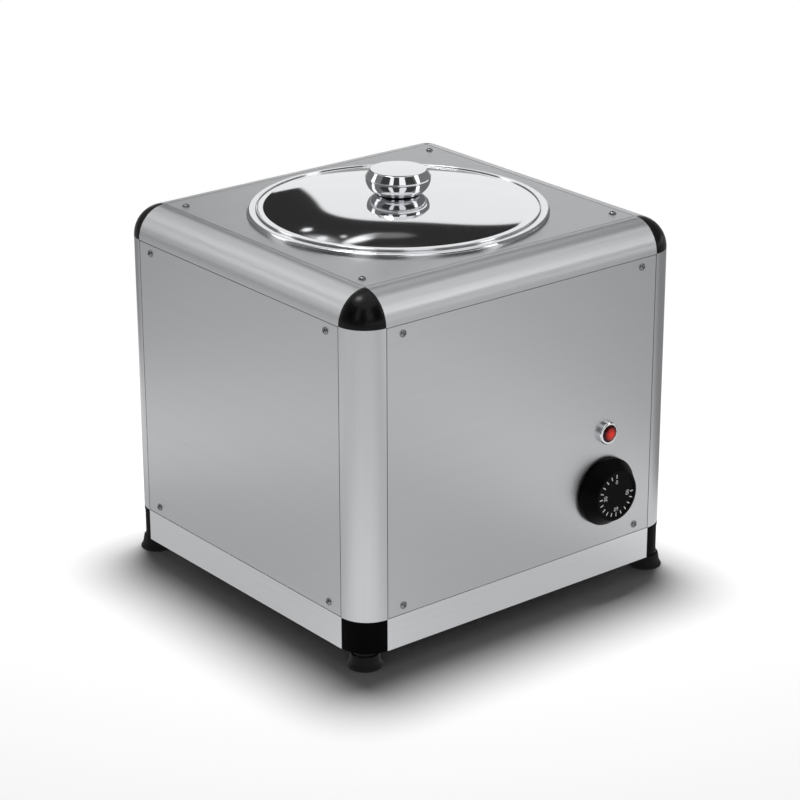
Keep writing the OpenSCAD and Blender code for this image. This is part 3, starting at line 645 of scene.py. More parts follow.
@dataclass
class Cabinet:
    """Profiles, panels and mouldings of the cabinet, which keep their CAD shapes."""

    def dress(self) -> None:
        """Gives each profile, panel and moulding its finish, with the grain along its length."""
        dress([f"post_{corner}" for corner in CORNERS], EXTRUSION.along(Axis.Z))
        for side in SIDES:
            along = Axis.X if side in ("front", "rear") else Axis.Y
            dress([f"top_rail_{side}"], EXTRUSION.along(along))
            # the plinth gets the copy of the metal painted paler, as painted light
            dress([f"plinth_{side}"], LIT_PLINTH_RAIL.along(along))
            dress([f"{side}_panel"], ROLLED_SHEET.along(along))
        # the top gets the copy of the sheet whose colour is painted a shade darker, as painted shade
        dress(["top_panel"], SHADED_TOP_SHEET.along(Axis.X))
        dress(["base_panel"], GALVANISED)
        dress([f"corner_cap_{corner}" for corner in CORNERS], BLACK_ABS)
        dress([f"foot_socket_{corner}" for corner in CORNERS], MATT_ABS)
        dress(["cable_gland", "gland_dome_nut", "gland_locknut"], BLACK_NYLON)
        dress(["gland_seal"], RUBBER)


@dataclass
class InnerWorks:
    """Heating and wiring inside the cabinet, which keep their CAD shapes."""

    def dress(self) -> None:
        """Gives each inner piece its finish."""
        dress(["well"], SPUN_ALUMINIUM)
        dress(["heater_band"], SILICONE)
        dress(["insulation_jacket", "insulation_base"], WOOL)
        dress(["thermal_cutout", "thermostat"], PHENOLIC)
        dress(["thermostat_spindle", "thermostat_screws", "foot_nuts", "lamp_nut"], ZINC)
        # the knob's screw gets the steel whose colour is painted darker, as painted shade
        dress(["lid_knob_screw"], SHADED_SCREW_STEEL)
        dress(["sensor_bulb"], COPPER)
        dress(["terminal_block"], NATURAL_NYLON)
        dress(["wiring"], PVC)


@dataclass
class PanelScrews:
    """Pan-head screws with a cross recess, one at each place where the CAD has a plain one."""

    head_d: float = 6.0
    head_h: float = 2.0
    edge: float = 0.35
    shank_d: float = 3.0
    shank_l: float = 8.0
    recess_l: float = 3.4
    recess_w: float = 0.75
    recess_depth: float = 1.2
    recess_taper: float = 0.55
    crown_sweep: float = 60.0
    crown_steps: int = 10
    facets: int = 32

    def one(self) -> Object:
        """Models one screw, its head upwards and its seat at the origin.

        Returns:
            The screw.
        """
        head_r = self.head_d / 2
        ball_r = ball_radius(head_r, self.head_h)
        crown_end = 90.0 - self.crown_sweep
        crown = arc((0.0, self.head_h - ball_r), ball_r, 90.0, crown_end, self.crown_steps)
        crown = [(r, z) for r, z in crown if r < head_r - self.edge / 2 and z > self.edge]
        section = [
            (0.0, -self.shank_l),
            (self.shank_d / 2, -self.shank_l),
            (self.shank_d / 2, 0.0),
            (head_r, 0.0),
            (head_r, self.edge),
            *reversed(crown),
        ]
        screw = turn("panel_screw", section, self.facets)
        self.cut_recess(screw)
        return screw

    def cut_recess(self, screw: Object) -> None:
        """Cuts the cross recess with a tapered bar, once along each arm.

        Args:
            screw: The screw whose head is cut.
        """
        start_piece()
        bpy.ops.mesh.primitive_cube_add(size=MM)
        bar = bpy.context.object
        bpy.ops.object.mode_set(mode="EDIT")
        bpy.ops.transform.resize(value=(self.recess_l, self.recess_w, 2 * self.recess_depth))
        bpy.ops.transform.translate(value=(0.0, 0.0, self.head_h * MM))
        select_end(bar, -1.0)
        bpy.ops.transform.resize(value=(self.recess_taper, self.recess_taper, 1.0))
        bpy.ops.object.mode_set(mode="OBJECT")
        for arm_turn in (0.0, math.pi / 2):
            bar.rotation_euler.z = arm_turn
            bpy.context.view_layer.update()
            choose(screw)
            bpy.ops.object.modifier_add(type="BOOLEAN")
            cut = screw.modifiers[-1]
            cut.operation = "DIFFERENCE"
            cut.object = bar
            bpy.ops.object.modifier_apply(modifier=cut.name)
        bpy.data.objects.remove(bar)
        choose(screw)
        bpy.ops.object.shade_smooth_by_angle(angle=SMOOTH_ANGLE)

    def places(self) -> list[tuple[Vector, Vector]]:
        """Finds the CAD screws' seats in their node.

        Returns:
            Each seat's place and the direction that its head points in.
        """
        choose(copied(NODES["panel_screws"]))
        bpy.ops.object.mode_set(mode="EDIT")
        bpy.ops.mesh.select_all(action="SELECT")
        bpy.ops.mesh.remove_doubles(threshold=WELD)
        bpy.ops.mesh.separate(type="LOOSE")
        bpy.ops.object.mode_set(mode="OBJECT")
        middle = (CAD_BOX[0] + CAD_BOX[1]) / 2
        seats = []
        for part in list(bpy.context.selected_objects):
            corners = [Vector(v.co) for v in part.data.vertices]
            low = Vector([min(c[i] for c in corners) for i in range(3)])
            high = Vector([max(c[i] for c in corners) for i in range(3)])
            along = max(Axis, key=lambda axis: (high - low)[axis.value])
            out = Vector((0.0, 0.0, 0.0))
            seat = (low + high) / 2
            out[along.value] = math.copysign(1.0, (seat - middle)[along.value])
            seat += out * ((high - low)[along.value] / 2 - self.head_h * MM)
            seats.append((seat, out))
            bpy.data.objects.remove(part)
        # in the order of their places, to a tenth of a millimetre, whatever the order in the mesh
        return sorted(seats, key=lambda pair: tuple(round(c, 4) for c in (*pair[0], *pair[1])))

    def build(self) -> None:
        """Sets a copy of the screw at each place, each turned a little differently, as one piece."""
        model = self.one()
        copies = []
        for i, (seat, out) in enumerate(self.places()):
            copy = copied(model)
            copy.rotation_mode = "QUATERNION"
            spin = Vector((math.cos(i), math.sin(i), 0.0)).to_track_quat("X", "Z")
            copy.rotation_quaternion = out.to_track_quat("Z", "Y") @ spin
            copy.location = seat
            copies.append(copy)
        bpy.data.objects.remove(model)
        screws = joined("panel_screw_heads", copies)
        # the heads get the steel whose colour is painted darker, as painted shade
        hand_over(screws, SHADED_SCREW_STEEL, "cabinet", "screw_steel", "panel_screws")


@dataclass
class LevellingFeet:
    """Rubber pads and their threaded levelling screws."""

    pad_d: float = 28.0
    pad_top_d: float = 22.0
    pad_h: float = 11.0
    side_h: float = 1.0
    pad_edge: float = 0.5
    waist_d: float = 24.4
    waist_z: float = 4.2
    waist_sweep: float = 4.0
    socket_d: float = 7.1
    socket_depth: float = 5.2
    groove_w: float = 1.2
    groove_depth: float = 0.8
    groove_radii: tuple[float, ...] = (5.0, 8.0, 11.0)
    pad_facets: int = 64
    pin_d: float = 7.0
    pin_l: float = 5.0
    pin_edge: float = 0.5
    pin_gap: float = 0.2
    collar_d: float = 19.0
    collar_h: float = 2.1
    collar_low_edge: float = 0.4
    collar_high_edge: float = 0.3
    stud_facets: int = 48
    thread_d: float = 7.9
    thread_root_d: float = 6.6
    thread_pitch: float = 1.25
    thread_l: float = 22.0
    thread_lead: float = 0.6
    thread_steps: int = 24
    # depth of a tooth's foot inside the shank
    tooth_foot: float = 0.2
    # heights of a tooth's flank and crest, as shares of the pitch
    flank_share: float = 0.405
    crest_share: float = 0.09

    def pad(self, corner: str) -> None:
        """Turns one pad, flared at its foot, with rings moulded in its sole for grip.

        Args:
            corner: The corner that it stands under.
        """
        half = self.groove_w / 2
        deep = self.groove_depth
        sole = []
        for r in self.groove_radii:
            sole += [(r - half, 0.0), (r - half, deep), (r + half, deep), (r + half, 0.0)]
        side_r = self.pad_d / 2
        pin_r = self.socket_d / 2
        corners = [
            (0.0, 0.0),
            *sole,
            (side_r, 0.0, self.pad_edge),
            (side_r, self.side_h, self.pad_edge),
            (self.waist_d / 2, self.waist_z, self.waist_sweep),
            (self.pad_top_d / 2, self.pad_h, self.pad_edge),
            (pin_r, self.pad_h),
            (pin_r, self.pad_h - self.socket_depth),
            (0.0, self.pad_h - self.socket_depth),
        ]
        node = f"foot_pad_{corner}"
        pad = turn(f"foot_sole_{corner}", rounded(corners), self.pad_facets)
        settle(pad, on_axis(node, Axis.Z))
        hand_over(pad, RUBBER, f"foot_pad_body_{corner}", "foot_rubber", node)

    def stud(self, corner: str) -> None:
        """Models one levelling screw: swivel pin, collar and a cut thread.

        Args:
            corner: The corner whose foot it carries.
        """
        collar_z = self.pin_l + self.pin_gap
        stop_z = collar_z + self.collar_h
        root_r = self.thread_root_d / 2
        top_z = stop_z + self.thread_l
        pin_r = self.pin_d / 2
        collar_r = self.collar_d / 2
        corners = [
            (0.0, 0.0),
            (pin_r, 0.0, self.pin_edge),
            (pin_r, collar_z),
            (collar_r, collar_z, self.collar_low_edge),
            (collar_r, stop_z, self.collar_high_edge),
            (root_r, stop_z),
            (root_r, top_z - self.thread_lead),
            (root_r - self.thread_lead, top_z),
            (0.0, top_z),
        ]
        node = f"foot_screw_{corner}"
        shank = turn("shank", rounded(corners), self.stud_facets)
        stud = joined(f"foot_stud_{corner}", [shank, self.thread(stop_z)])
        settle(stud, on_axis(node, Axis.Z))
        hand_over(stud, BLACK_NYLON, f"foot_screw_body_{corner}", "black_nylon", node)

    def thread(self, start_z: float) -> Object:
        """Winds a thread's tooth up the screw's shank.

        Args:
            start_z: Height of the thread's start above the pin's end, in millimetres.

        Returns:
            The wound tooth, closed at both ends.
        """
        foot_r = self.thread_root_d / 2 - self.tooth_foot
        tip_r = self.thread_d / 2
        flank = self.flank_share * self.thread_pitch
        crest = self.crest_share * self.thread_pitch
        tip_z = start_z + flank
        end_z = tip_z + crest + flank
        section = [(foot_r, start_z), (tip_r, tip_z), (tip_r, tip_z + crest), (foot_r, end_z)]
        tooth = draw_line("thread", section)
        bpy.ops.mesh.edge_face_add()
        bpy.ops.object.mode_set(mode="OBJECT")
        bpy.ops.object.modifier_add(type="SCREW")
        wind = tooth.modifiers[-1]
        wind.screw_offset = self.thread_pitch * MM
        wind.iterations = int(self.thread_l / self.thread_pitch) - 1
        wind.steps = self.thread_steps
        wind.render_steps = self.thread_steps
        wind.use_merge_vertices = False
        bpy.ops.object.modifier_apply(modifier=wind.name)
        bpy.ops.object.mode_set(mode="EDIT")
        close_up()
        bpy.ops.object.shade_smooth_by_angle(angle=SMOOTH_ANGLE)
        return tooth

    def build(self) -> None:
        """Makes the pad and the screw under each corner."""
        for corner in CORNERS:
            self.pad(corner)
            self.stud(corner)


@dataclass
class PotAndLid:
    """The lift-out pot, which keeps its CAD shape, the mirror-polished lid and its chromed knob."""

    lid_r: float = 113.0
    dome_r: float = 107.0
    dome_h: float = 10.5
    sheet: float = 1.0
    bead_r: float = 0.65
    bead_lift: float = 0.15
    ring_r: float = 96.8
    ring_h: float = 7.0
    hole_r: float = 2.7
    crease: float = 1.2
    # angles round the rolled edge at which it leaves the brim's upper and lower face
    roll_start: float = 200.0
    roll_end: float = -70.0
    roll_steps: int = 18
    dome_steps: int = 64
    inner_steps: int = 48
    lid_facets: int = 192
    knob_rim_r: float = 26.0
    knob_foot_r: float = 17.0
    knob_top_r: float = 22.5
    knob_h: float = 21.0
    knob_bowl_h: float = 13.0
    knob_rim_t: float = 0.8
    knob_crown_h: float = 1.5
    knob_recess_r: float = 14.5
    knob_recess_h: float = 1.0
    knob_bore: float = 14.0
    knob_rim_edge: float = 0.35
    knob_top_edge: float = 0.8
    bowl_steps: int = 20
    crown_steps: int = 12

    def lid(self) -> None:
        """Turns the lid's shell: shallow dome, flat brim with a rolled edge, ring inside the pot's mouth."""
        brim = self.ring_h
        brim_top = brim + self.sheet
        ball_r = ball_radius(self.dome_r, self.dome_h)
        ball_z = brim_top + self.dome_h - ball_r
        inner_r = ball_r - self.sheet
        inner_end = self.ring_r - self.sheet
        outer = self.ball_arc(ball_z, ball_r, self.hole_r, self.dome_r, self.dome_steps)
        inner = self.ball_arc(ball_z, inner_r, inner_end, self.hole_r, self.inner_steps)
        bead = (self.lid_r - self.bead_r, brim + self.bead_r + self.bead_lift)
        crease = rounded([outer[-2], (*outer[-1], self.crease), (bead[0], brim_top)])
        section = [
            *outer[:-2],
            *crease[:-1],
            *arc(bead, self.bead_r, self.roll_start, self.roll_end, self.roll_steps),
            (bead[0], brim),
            (self.ring_r, brim),
            (self.ring_r, 0.0),
            (inner_end, 0.0),
            *inner,
        ]
        lid = turn("lid_shell", section, self.lid_facets)
        settle(lid, Vector((0.0, 0.0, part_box("lid")[0].z)))
        hand_over(lid, MIRROR_STEEL, "lid", "lid_mirror", "lid")

    def ball_arc(self, z: float, ball_r: float, start_r: float, end_r: float, steps: int) -> list[Point]:
        """Points along the upper side of a ball's section, between two distances from its axis."""
        start, end = (math.degrees(math.acos(r / ball_r)) for r in (start_r, end_r))
        return arc((0.0, z), ball_r, start, end, steps)

    def knob(self) -> None:
        """Turns the lid's knob: bowl, thin rim, bevel and a slightly crowned top."""
        bowl_r = ball_radius(self.knob_bowl_h, self.knob_rim_r - self.knob_foot_r)
        bowl_c = (self.knob_rim_r - bowl_r, self.knob_bowl_h)
        foot_angle = math.degrees(math.atan2(-self.knob_bowl_h, self.knob_foot_r - bowl_c[0]))
        crown_r = ball_radius(self.knob_top_r, self.knob_crown_h)
        crown = self.ball_arc(self.knob_h - crown_r, crown_r, self.knob_top_r, 0.0, self.crown_steps)
        bowl = arc(bowl_c, bowl_r, foot_angle, 0.0, self.bowl_steps)
        corners = [
            (self.hole_r, self.knob_recess_h),
            (self.knob_recess_r, self.knob_recess_h),
            (self.knob_recess_r, 0.0),
            *bowl,
            (self.knob_rim_r, self.knob_bowl_h + self.knob_rim_t, self.knob_rim_edge),
            (self.knob_top_r, self.knob_h - self.knob_crown_h, self.knob_top_edge),
            *crown[1:],
            (0.0, self.knob_bore),
            (self.hole_r, self.knob_bore),
        ]
        knob = turn("lid_grip", rounded(corners))
        settle(knob, Vector((0.0, 0.0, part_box("lid_knob")[0].z)))
        hand_over(knob, CHROME, "lid", "knob_chrome", "lid_knob")

    def build(self) -> None:
        """Dresses the pot and makes the lid and its knob."""
        dress(["pot"], SPUN_STEEL)
        self.lid()
        self.knob()


@dataclass
class ThermostatDial:
    """The dial on the thermostat's spindle, with a printed scale on its recessed face."""

    gap: float = 1.0
    skirt_d: float = 56.0
    skirt_t: float = 4.0
    skirt_edge: float = 0.4
    skirt_bevel: float = 0.8
    bevel_low_edge: float = 0.5
    bevel_high_edge: float = 0.8
    face_d: float = 42.0
    face_edge: float = 1.0
    rim_w: float = 1.6
    rim_edge: float = 0.2
    recess: float = 0.5
    height: float = 14.5
    wall: float = 2.2
    face_t: float = 3.0
    hub_d: float = 14.0
    hub_lift: float = 4.5
    bore_d: float = 6.1
    tick_r: float = 17.8
    tick_l: float = 3.2
    tick_w: float = 0.9
    tick_step: float = 18.0
    scale_sweep: float = 270.0
    figure_every: float = 90.0
    figure_step: int = 30
    figure_size: float = 4.8
    figure_r: float = 13.8
    ink: float = 0.05

    def knob(self) -> None:
        """Turns the dial: skirt, tapered grip, rimmed face, and a hollow with the hub inside."""
        skirt_r = self.skirt_d / 2
        body_r = skirt_r - self.skirt_bevel
        face_r = self.face_d / 2
        skirt_z = self.gap + self.skirt_t
        rim = face_r - self.face_edge - self.rim_w
        floor = self.height - self.recess
        inside = self.height - self.face_t
        corners = [
            (body_r - self.wall, self.gap),
            (skirt_r, self.gap, self.skirt_edge),
            (skirt_r, skirt_z - self.skirt_bevel, self.bevel_low_edge),
            (body_r, skirt_z, self.bevel_high_edge),
            (face_r, self.height, self.face_edge),
            (rim, self.height, self.rim_edge),
            (rim, floor),
            (0.0, floor),
            (0.0, inside),
            (self.bore_d / 2, inside),
            (self.bore_d / 2, self.hub_lift),
            (self.hub_d / 2, self.hub_lift),
            (self.hub_d / 2, inside),
            (face_r - self.wall, inside),
            (body_r - self.wall, skirt_z),
        ]
        dial = turn("dial_grip", rounded(corners))
        settle(dial, on_axis("dial_knob", Axis.Y, self.height), FACING_FRONT)
        hand_over(dial, DIAL_BLACK, "dial", "dial_black", "dial_knob")

    def tick(self) -> Object:
        """Prints one tick of the scale.

        Returns:
            The tick, in the middle of the dial's face.
        """
        start_piece()
        bpy.ops.mesh.primitive_plane_add(size=MM)
        bpy.ops.object.mode_set(mode="EDIT")
        bpy.ops.transform.resize(value=(self.tick_w, self.tick_l, 1.0))
        bpy.ops.mesh.extrude_region_move(TRANSFORM_OT_translate={"value": (0.0, 0.0, self.ink * MM)})
        close_up()
        return bpy.context.object

    def figure(self, number: int) -> Object:
        """Prints one number of the scale.

        Args:
            number: What it says.

        Returns:
            The number as a mesh, in the middle of the dial's face.
        """
        start_piece()
        bpy.ops.object.text_add(location=(0.0, 0.0, self.ink / 2 * MM))
        text = bpy.context.object.data
        text.body = str(number)
        text.size = self.figure_size * MM
        text.extrude = self.ink / 2 * MM
        text.align_x = "CENTER"
        text.align_y = "CENTER"
        bpy.ops.object.convert(target="MESH")
        return bpy.context.object

    def scale(self) -> None:
        """Prints the scale: evenly spaced ticks, and a number at each quarter turn."""
        tick_reach = self.tick_r - self.tick_l / 2
        figure_reach = self.figure_r - self.figure_size / 2
        marks = []
        for i in range(round(self.scale_sweep / self.tick_step) + 1):
            marks.append((self.tick(), i * self.tick_step, tick_reach))
        for i in range(round(self.scale_sweep / self.figure_every) + 1):
            marks.append((self.figure(i * self.figure_step), i * self.figure_every, figure_reach))
        for mark, angle, reach in marks:
            turn_z = math.radians(angle)
            mark.rotation_euler.z = turn_z
            mark.location.xy = Matrix.Rotation(turn_z, 2) @ Vector((0.0, reach * MM))
        scale = joined("dial_scale", [mark for mark, _, _ in marks])
        settle(scale, on_axis("dial_knob", Axis.Y, self.recess), FACING_FRONT)
        hand_over(scale, WHITE_INK, "dial", "dial_black")

    def build(self) -> None:
        """Makes the dial and its scale."""
        self.knob()
        self.scale()


@dataclass
class PilotLamp:
    """The chromed bezel, which keeps its CAD shape, and the cut red lens in it."""

    sides: int = 12
    lens_d: float = 14.5
    seat: float = 1.0
    lens_h: float = 4.6
    crown_h: float = 1.8
    # the outer row of facets' share of the crown's height
    first_facet: float = 0.65
    table_d: float = 6.0
    stem_d: float = 8.4
    stem_l: float = 10.0

    def lens(self) -> None:
        """Cuts the lens: a twelve-sided disc with two rows of facets in front and a stem behind."""
        start_piece()
        depth = (self.lens_h - self.seat) * MM
        middle = (self.seat + self.lens_h) / 2 * MM
        radius = self.lens_d / 2 * MM
        bpy.ops.mesh.primitive_cylinder_add(
            vertices=self.sides, radius=radius, depth=depth, location=(0.0, 0.0, middle)
        )
        lens = bpy.context.object
        lens.name = "pilot_lens"
        bpy.ops.object.transform_apply()
        bpy.ops.object.mode_set(mode="EDIT")
        facet = (self.lens_d - self.table_d) / 4 * MM
        select_end(lens, 1.0)
        for share in (self.first_facet, 1 - self.first_facet):
            bpy.ops.mesh.inset(thickness=facet, depth=share * self.crown_h * MM)
        select_end(lens, -1.0)
        bpy.ops.mesh.inset(thickness=(self.lens_d - self.stem_d) / 2 * MM)
        fall = (0.0, 0.0, -(self.stem_l + self.seat) * MM)
        bpy.ops.mesh.extrude_region_move(TRANSFORM_OT_translate={"value": fall})
        close_up()
        settle(lens, on_axis("lamp_lens", Axis.Y, self.lens_h + self.crown_h), FACING_FRONT)
        lit = tuple(on_axis("lamp_lens", Axis.Y, self.crown_h))
        finish = replace(RED_ACRYLIC, centre=lit, radius_mm=self.lens_d / 2)
        hand_over(lens, finish, "cabinet", "lamp_red", "lamp_lens")

    def build(self) -> None:
        """Dresses the bezel and makes the lens."""
        dress(["lamp_bezel"], CHROME_BEZEL)
        self.lens()


@dataclass(frozen=True)
class Patch:
    """A soft-edged region of a given brightness, on the floor or in the room that the metal mirrors.

    Its outline is an ellipse at a power of 2 and nears a box at higher ones. It leans by a share of its
    height, and one that is open below goes down without end.
    """

    across: float
    up: float
    half_width: float
    half_height: float
    level: float
    power: float = 2.0
    softness: float = 0.9
    lean: float = 0.0
    open_below: bool = False

    def mask(self, tree: NodeTree, across: NodeSocket, up: NodeSocket) -> NodeSocket:
        """Adds the region's soft-edged shape.

        Args:
            tree: The floor's or the world's node tree.
            across: The first coordinate.
            up: The second coordinate.

        Returns:
            1 inside the region and 0 outside.
        """
        rise = add_node(tree, "Math", {"operation": "SUBTRACT", 1: self.up}, {0: up}).outputs[0]
        run = add_node(tree, "Math", {"operation": "SUBTRACT", 1: self.across}, {0: across}).outputs[0]
        if self.lean:
            slant = {"operation": "MULTIPLY_ADD", 1: self.lean}
            run = add_node(tree, "Math", slant, {0: rise, 2: run}).outputs[0]
        reach = {"operation": "MAXIMUM", 1: 0.0} if self.open_below else {"operation": "ABSOLUTE"}
        sizes = (({"operation": "ABSOLUTE"}, run, self.half_width), (reach, rise, self.half_height))
        bends = []
        for away, offset, half in sizes:
            size = add_node(tree, "Math", away, {0: offset})
            share = add_node(tree, "Math", {"operation": "DIVIDE", 1: half}, {0: size.outputs[0]})
            bend = add_node(tree, "Math", {"operation": "POWER", 1: self.power}, {0: share.outputs[0]})
            bends.append(bend.outputs[0])
        total = add_node(tree, "Math", {"operation": "ADD"}, dict(enumerate(bends)))
        fade = {
            "interpolation_type": "SMOOTHSTEP",
            "From Min": 1 - self.softness,
            "From Max": 1 + self.softness,
            "To Min": 1.0,
            "To Max": 0.0,
        }
        return add_node(tree, "MapRange", fade, {"Value": total.outputs[0]}).outputs[0]


def paint(
    tree: NodeTree, base: float, patches: Iterable[Patch], across: NodeSocket, up: NodeSocket
) -> NodeSocket:
    """Lays regions over an even brightness, each over the ones before it.

    Args:
        tree: The floor's or the world's node tree.
        base: Brightness where there is no region.
        patches: The regions.
        across: The first coordinate.
        up: The second coordinate.

    Returns:
        The brightness.
    """
    shade = add_node(tree, "Value").outputs[0]
    shade.default_value = base
    for patch in patches:
        levels = {"data_type": "FLOAT", 3: patch.level}
        shade = add_node(tree, "Mix", levels, {0: patch.mask(tree, across, up), 2: shade}).outputs[0]
    return shade


def mirror_ray(tree: NodeTree) -> NodeSocket:
    """Tells the rays by which metal and glass show their surroundings from those that light a surface.

    Args:
        tree: The floor's or the world's node tree.

    Returns:
        1 for a mirrored ray and 0 for any other.
    """
    path = add_node(tree, "LightPath")
    either = {0: path.outputs["Is Glossy Ray"], 1: path.outputs["Is Transmission Ray"]}
    bent = add_node(tree, "Math", {"operation": "MAXIMUM"}, either)
    first = add_node(tree, "Math", {"operation": "LESS_THAN", 1: 0.5}, {0: path.outputs["Diffuse Depth"]})
    both = {0: bent.outputs[0], 1: first.outputs[0]}
    return add_node(tree, "Math", {"operation": "MULTIPLY"}, both).outputs[0]


@dataclass
class Studio:
    """White floor, soft light from above, the room that the metal mirrors, and the camera.

    The room's regions are in degrees left of and above the far side, the floor's in metres.
    """

    floor_size: float = 40.0
    floor_colour: str = "#D9D9D9"
    lit_reach: float = 0.42
    white_reach: float = 0.75
    floor_glow: float = 0.33
    floor_patches: tuple[Patch, ...] = (
        # bright near half of the floor
        Patch(-2.0, 0.0, 2.17, 40.0, 0.67, softness=0.16, lean=0.82),
        # wide pool before the near corner, and a brighter one close to it
        Patch(-0.5, -0.5, 0.45, 0.45, 0.90),
        Patch(-0.29, -0.27, 0.16, 0.16, 1.05),
        # strip that the front panel mirrors as a slanting band
        Patch(0.235, -0.75, 0.10, 0.75, 1.01),
        # strip that the left panel mirrors across its middle
        Patch(-0.40, 0.30, 0.20, 0.60, 0.94, lean=-1.25),
    )
    key_power: float = 74.0
    key_size: float = 0.62
    key_height: float = 2.2
    key_offset: float = 0.31
    fill: float = 0.10
    room: float = 0.20
    room_patches: tuple[Patch, ...] = (
        # bright horizon on the right
        Patch(-115.0, 0.0, 67.0, 6.0, 1.3, power=8.0, softness=0.4),
        # dark ceiling over the far side, and the white sweep below it
        Patch(-0.5, 24.0, 15.0, 16.5, 0.03, power=10.0, softness=0.2),
        Patch(-2.6, 21.0, 9.0, 10.2, 0.95, power=2.6, softness=0.06, lean=-0.045, open_below=True),
        Patch(0.0, 0.0, 18.0, 8.3, 0.93, power=10.0, softness=0.2, open_below=True),
        # lamps under that ceiling
        Patch(4.4, 37.0, 1.6, 1.4, 1.3, softness=0.7, lean=-1.2),
        Patch(1.0, 36.4, 2.6, 1.0, 0.2),
        Patch(6.3, 35.6, 0.35, 0.5, 0.8, softness=0.6),
        Patch(9.4, 30.8, 0.5, 0.7, 1.2, softness=0.6),
        Patch(8.7, 35.1, 0.6, 0.8, 1.0, softness=0.6),
        # white ceiling overhead
        Patch(0.0, 90.0, 400.0, 34.0, 0.92, power=6.0, softness=0.4),
        # dark room behind the camera, and its windows
        Patch(150.0, 34.0, 42.0, 20.0, 0.05, power=4.0, softness=0.4),
        Patch(-150.0, 34.0, 40.0, 20.0, 0.05, power=4.0, softness=0.4),
        Patch(152.0, 36.0, 8.0, 22.0, 1.1, power=4.0, softness=0.5),
        Patch(-162.0, 38.0, 13.0, 24.0, 1.1, power=4.0, softness=0.5),
    )
    # small lamps, each by two angles and its brightness: to the left and right those that draw the
    # highlights on the rails, and one overhead for the highlight on the black corners
    lamps: tuple[tuple[float, float, float], ...] = (
        (17.0, 39.0, 1.15), (30.0, 43.0, 1.2), (44.0, 42.0, 1.2), (57.0, 39.0, 1.9),
        (67.0, 32.0, 1.5), (76.0, 22.0, 1.9), (82.0, 9.0, 1.35),
        (-16.0, 46.0, 1.0), (-30.0, 51.0, 0.55), (-47.0, 54.0, 0.35), (-66.0, 51.0, 1.35),
        (-84.0, 46.0, 1.45), (-95.0, 36.0, 1.9), (-102.0, 24.0, 2.6), (-106.0, 9.0, 1.0),
        (66.0, 73.0, 13.0),
    )
    lamp_size: float = 7.0
    lamp_power: float = 2.5
    lamp_softness: float = 0.5
    camera_azimuth: float = -38.633
    camera_elevation: float = 21.545
    camera_roll: float = -0.13
    camera_place: tuple[float, float, float] = (-1.28513, -1.60965, 0.95086)
    lens: float = 122.487
    sensor: float = 36.0
    far_bearing: float = math.radians(51.35)

    def floor(self) -> None:
        """Lays the pale floor, which runs into white paper and which metal mirrors without the shadow."""
        start_piece()
        bpy.ops.mesh.primitive_plane_add(size=self.floor_size)
        floor = bpy.context.object
        floor.name = "studio_floor"
        material = bpy.data.materials.new("paper_sweep_white")
        material.use_nodes = True
        tree = material.node_tree
        shader = tree.nodes["Principled BSDF"]
        shader.inputs["Base Color"].default_value = linear(self.floor_colour)
        shader.inputs["Roughness"].default_value = 1.0
        shader.inputs["Specular IOR Level"].default_value = 0.0
        place = add_node(tree, "TexCoord")
        axes = add_node(tree, "SeparateXYZ", {}, {0: place.outputs["Object"]})
        shade = paint(tree, self.floor_glow, self.floor_patches, axes.outputs[0], axes.outputs[1])
        glow = add_node(tree, "Emission", {}, {"Strength": shade})
        reach = add_node(tree, "VectorMath", {"operation": "LENGTH"}, {0: place.outputs["Object"]})
        span = {"interpolation_type": "SMOOTHSTEP", "From Min": self.lit_reach, "From Max": self.white_reach}
        away = add_node(tree, "MapRange", span, {"Value": reach.outputs["Value"]})
        paper = {0: away.outputs[0], 1: shader.outputs[0], 2: add_node(tree, "Emission").outputs[0]}
        seen = add_node(tree, "MixShader", {}, paper)
        either = {0: mirror_ray(tree), 1: seen.outputs[0], 2: glow.outputs[0]}
        shown = add_node(tree, "MixShader", {}, either)
        tree.links.new(shown.outputs[0], tree.nodes["Material Output"].inputs["Surface"])
        material.cycles.emission_sampling = "NONE"
        floor.data.materials.append(material)

    def key(self) -> None:
        """Hangs the soft light above and a little behind the tank, facing down."""
        light = bpy.data.lights.new("overhead_softbox", "AREA")
        light.shape = "DISK"
        light.energy = self.key_power
        light.size = self.key_size
        lamp = bpy.data.objects.new("overhead_softbox", light)
        bpy.context.scene.collection.objects.link(lamp)
        behind = (self.key_offset * math.cos(self.far_bearing), self.key_offset * math.sin(self.far_bearing))
        lamp.location = (*behind, self.key_height)
        lamp.visible_glossy = False

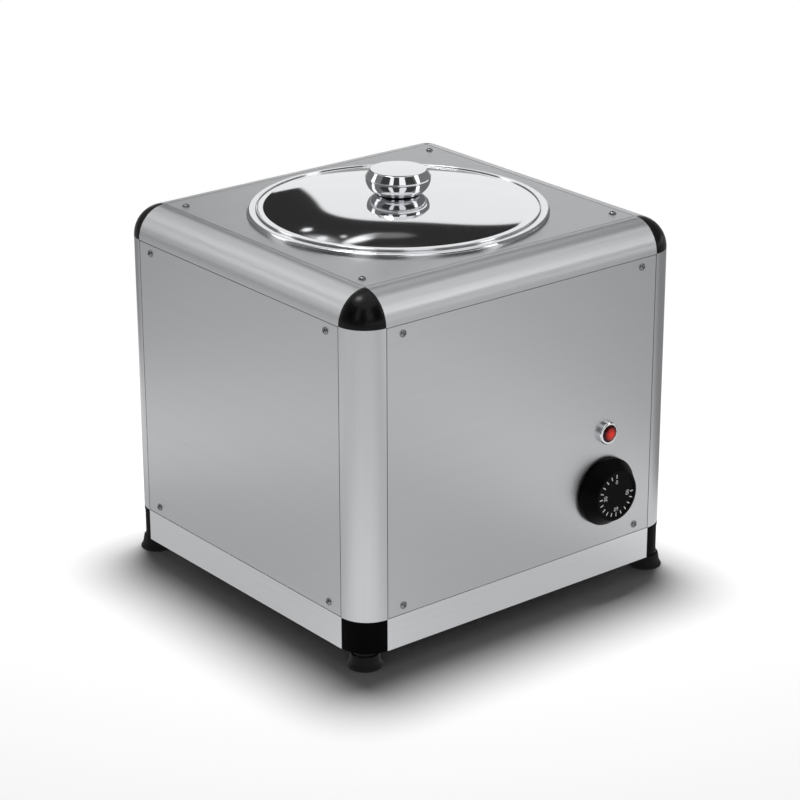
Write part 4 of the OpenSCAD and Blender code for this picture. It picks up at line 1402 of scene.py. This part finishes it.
    def world(self) -> None:
        """Fills the shadows from all round, and gives the metal a room to mirror."""
        world = bpy.data.worlds.new("white_studio")
        bpy.context.scene.world = world
        world.use_nodes = True
        tree = world.node_tree
        place = add_node(tree, "TexCoord")
        turned = {"Rotation": (0.0, 0.0, -self.far_bearing)}
        aim = add_node(tree, "Mapping", turned, {"Vector": place.outputs["Generated"]})
        axes = add_node(tree, "SeparateXYZ", {}, {0: aim.outputs[0]})
        far, side, height = axes.outputs
        bearing = add_node(tree, "Math", {"operation": "ARCTAN2"}, {0: side, 1: far})
        left = add_node(tree, "Math", {"operation": "DEGREES"}, {0: bearing.outputs[0]})
        rise = add_node(tree, "Math", {"operation": "ARCSINE"}, {0: height})
        up = add_node(tree, "Math", {"operation": "DEGREES"}, {0: rise.outputs[0]})
        patches = list(self.room_patches)
        for across, height_angle, level in self.lamps:
            size = (self.lamp_size / math.cos(math.radians(height_angle)), self.lamp_size)
            patches.append(Patch(across, height_angle, *size, level, self.lamp_power, self.lamp_softness))
        shade = paint(tree, self.room, patches, left.outputs[0], up.outputs[0])
        levels = {"data_type": "FLOAT", 2: self.fill}
        seen = add_node(tree, "Mix", levels, {0: mirror_ray(tree), 3: shade})
        direct = add_node(tree, "LightPath").outputs["Is Camera Ray"]
        levels = {"data_type": "FLOAT", 3: 1.0}
        shown = add_node(tree, "Mix", levels, {0: direct, 2: seen.outputs[0]})
        tree.links.new(shown.outputs[0], tree.nodes["Background"].inputs["Strength"])
        tree.nodes["Background"].inputs["Color"].default_value = linear("#FFFFFF")

    def camera(self) -> None:
        """Stands the camera where the photograph was taken from."""
        data = bpy.data.cameras.new("photo_camera")
        data.lens = self.lens
        data.sensor_width = self.sensor
        camera = bpy.data.objects.new("photo_camera", data)
        bpy.context.scene.collection.objects.link(camera)
        turn_z = math.radians(self.camera_azimuth)
        tilt = math.radians(self.camera_elevation)
        level = math.cos(tilt)
        ahead = Vector((-math.sin(turn_z) * level, math.cos(turn_z) * level, -math.sin(tilt)))
        roll = Quaternion((0.0, 0.0, 1.0), math.radians(self.camera_roll))
        camera.location = self.camera_place
        camera.rotation_euler = (ahead.to_track_quat("-Z", "Y") @ roll).to_euler()
        bpy.context.scene.camera = camera

    def build(self) -> None:
        """Sets up the studio."""
        bpy.context.scene.view_settings.view_transform = "Standard"
        self.floor()
        self.key()
        self.world()
        self.camera()


def main() -> None:
    """Builds the tank's pieces in order, then the studio."""
    logging.basicConfig(level=logging.INFO, format="%(name)s: %(message)s")
    Cabinet().dress()
    InnerWorks().dress()
    PanelScrews().build()
    LevellingFeet().build()
    PotAndLid().build()
    ThermostatDial().build()
    PilotLamp().build()
    Studio().build()


if __name__ == "__main__":
    main()
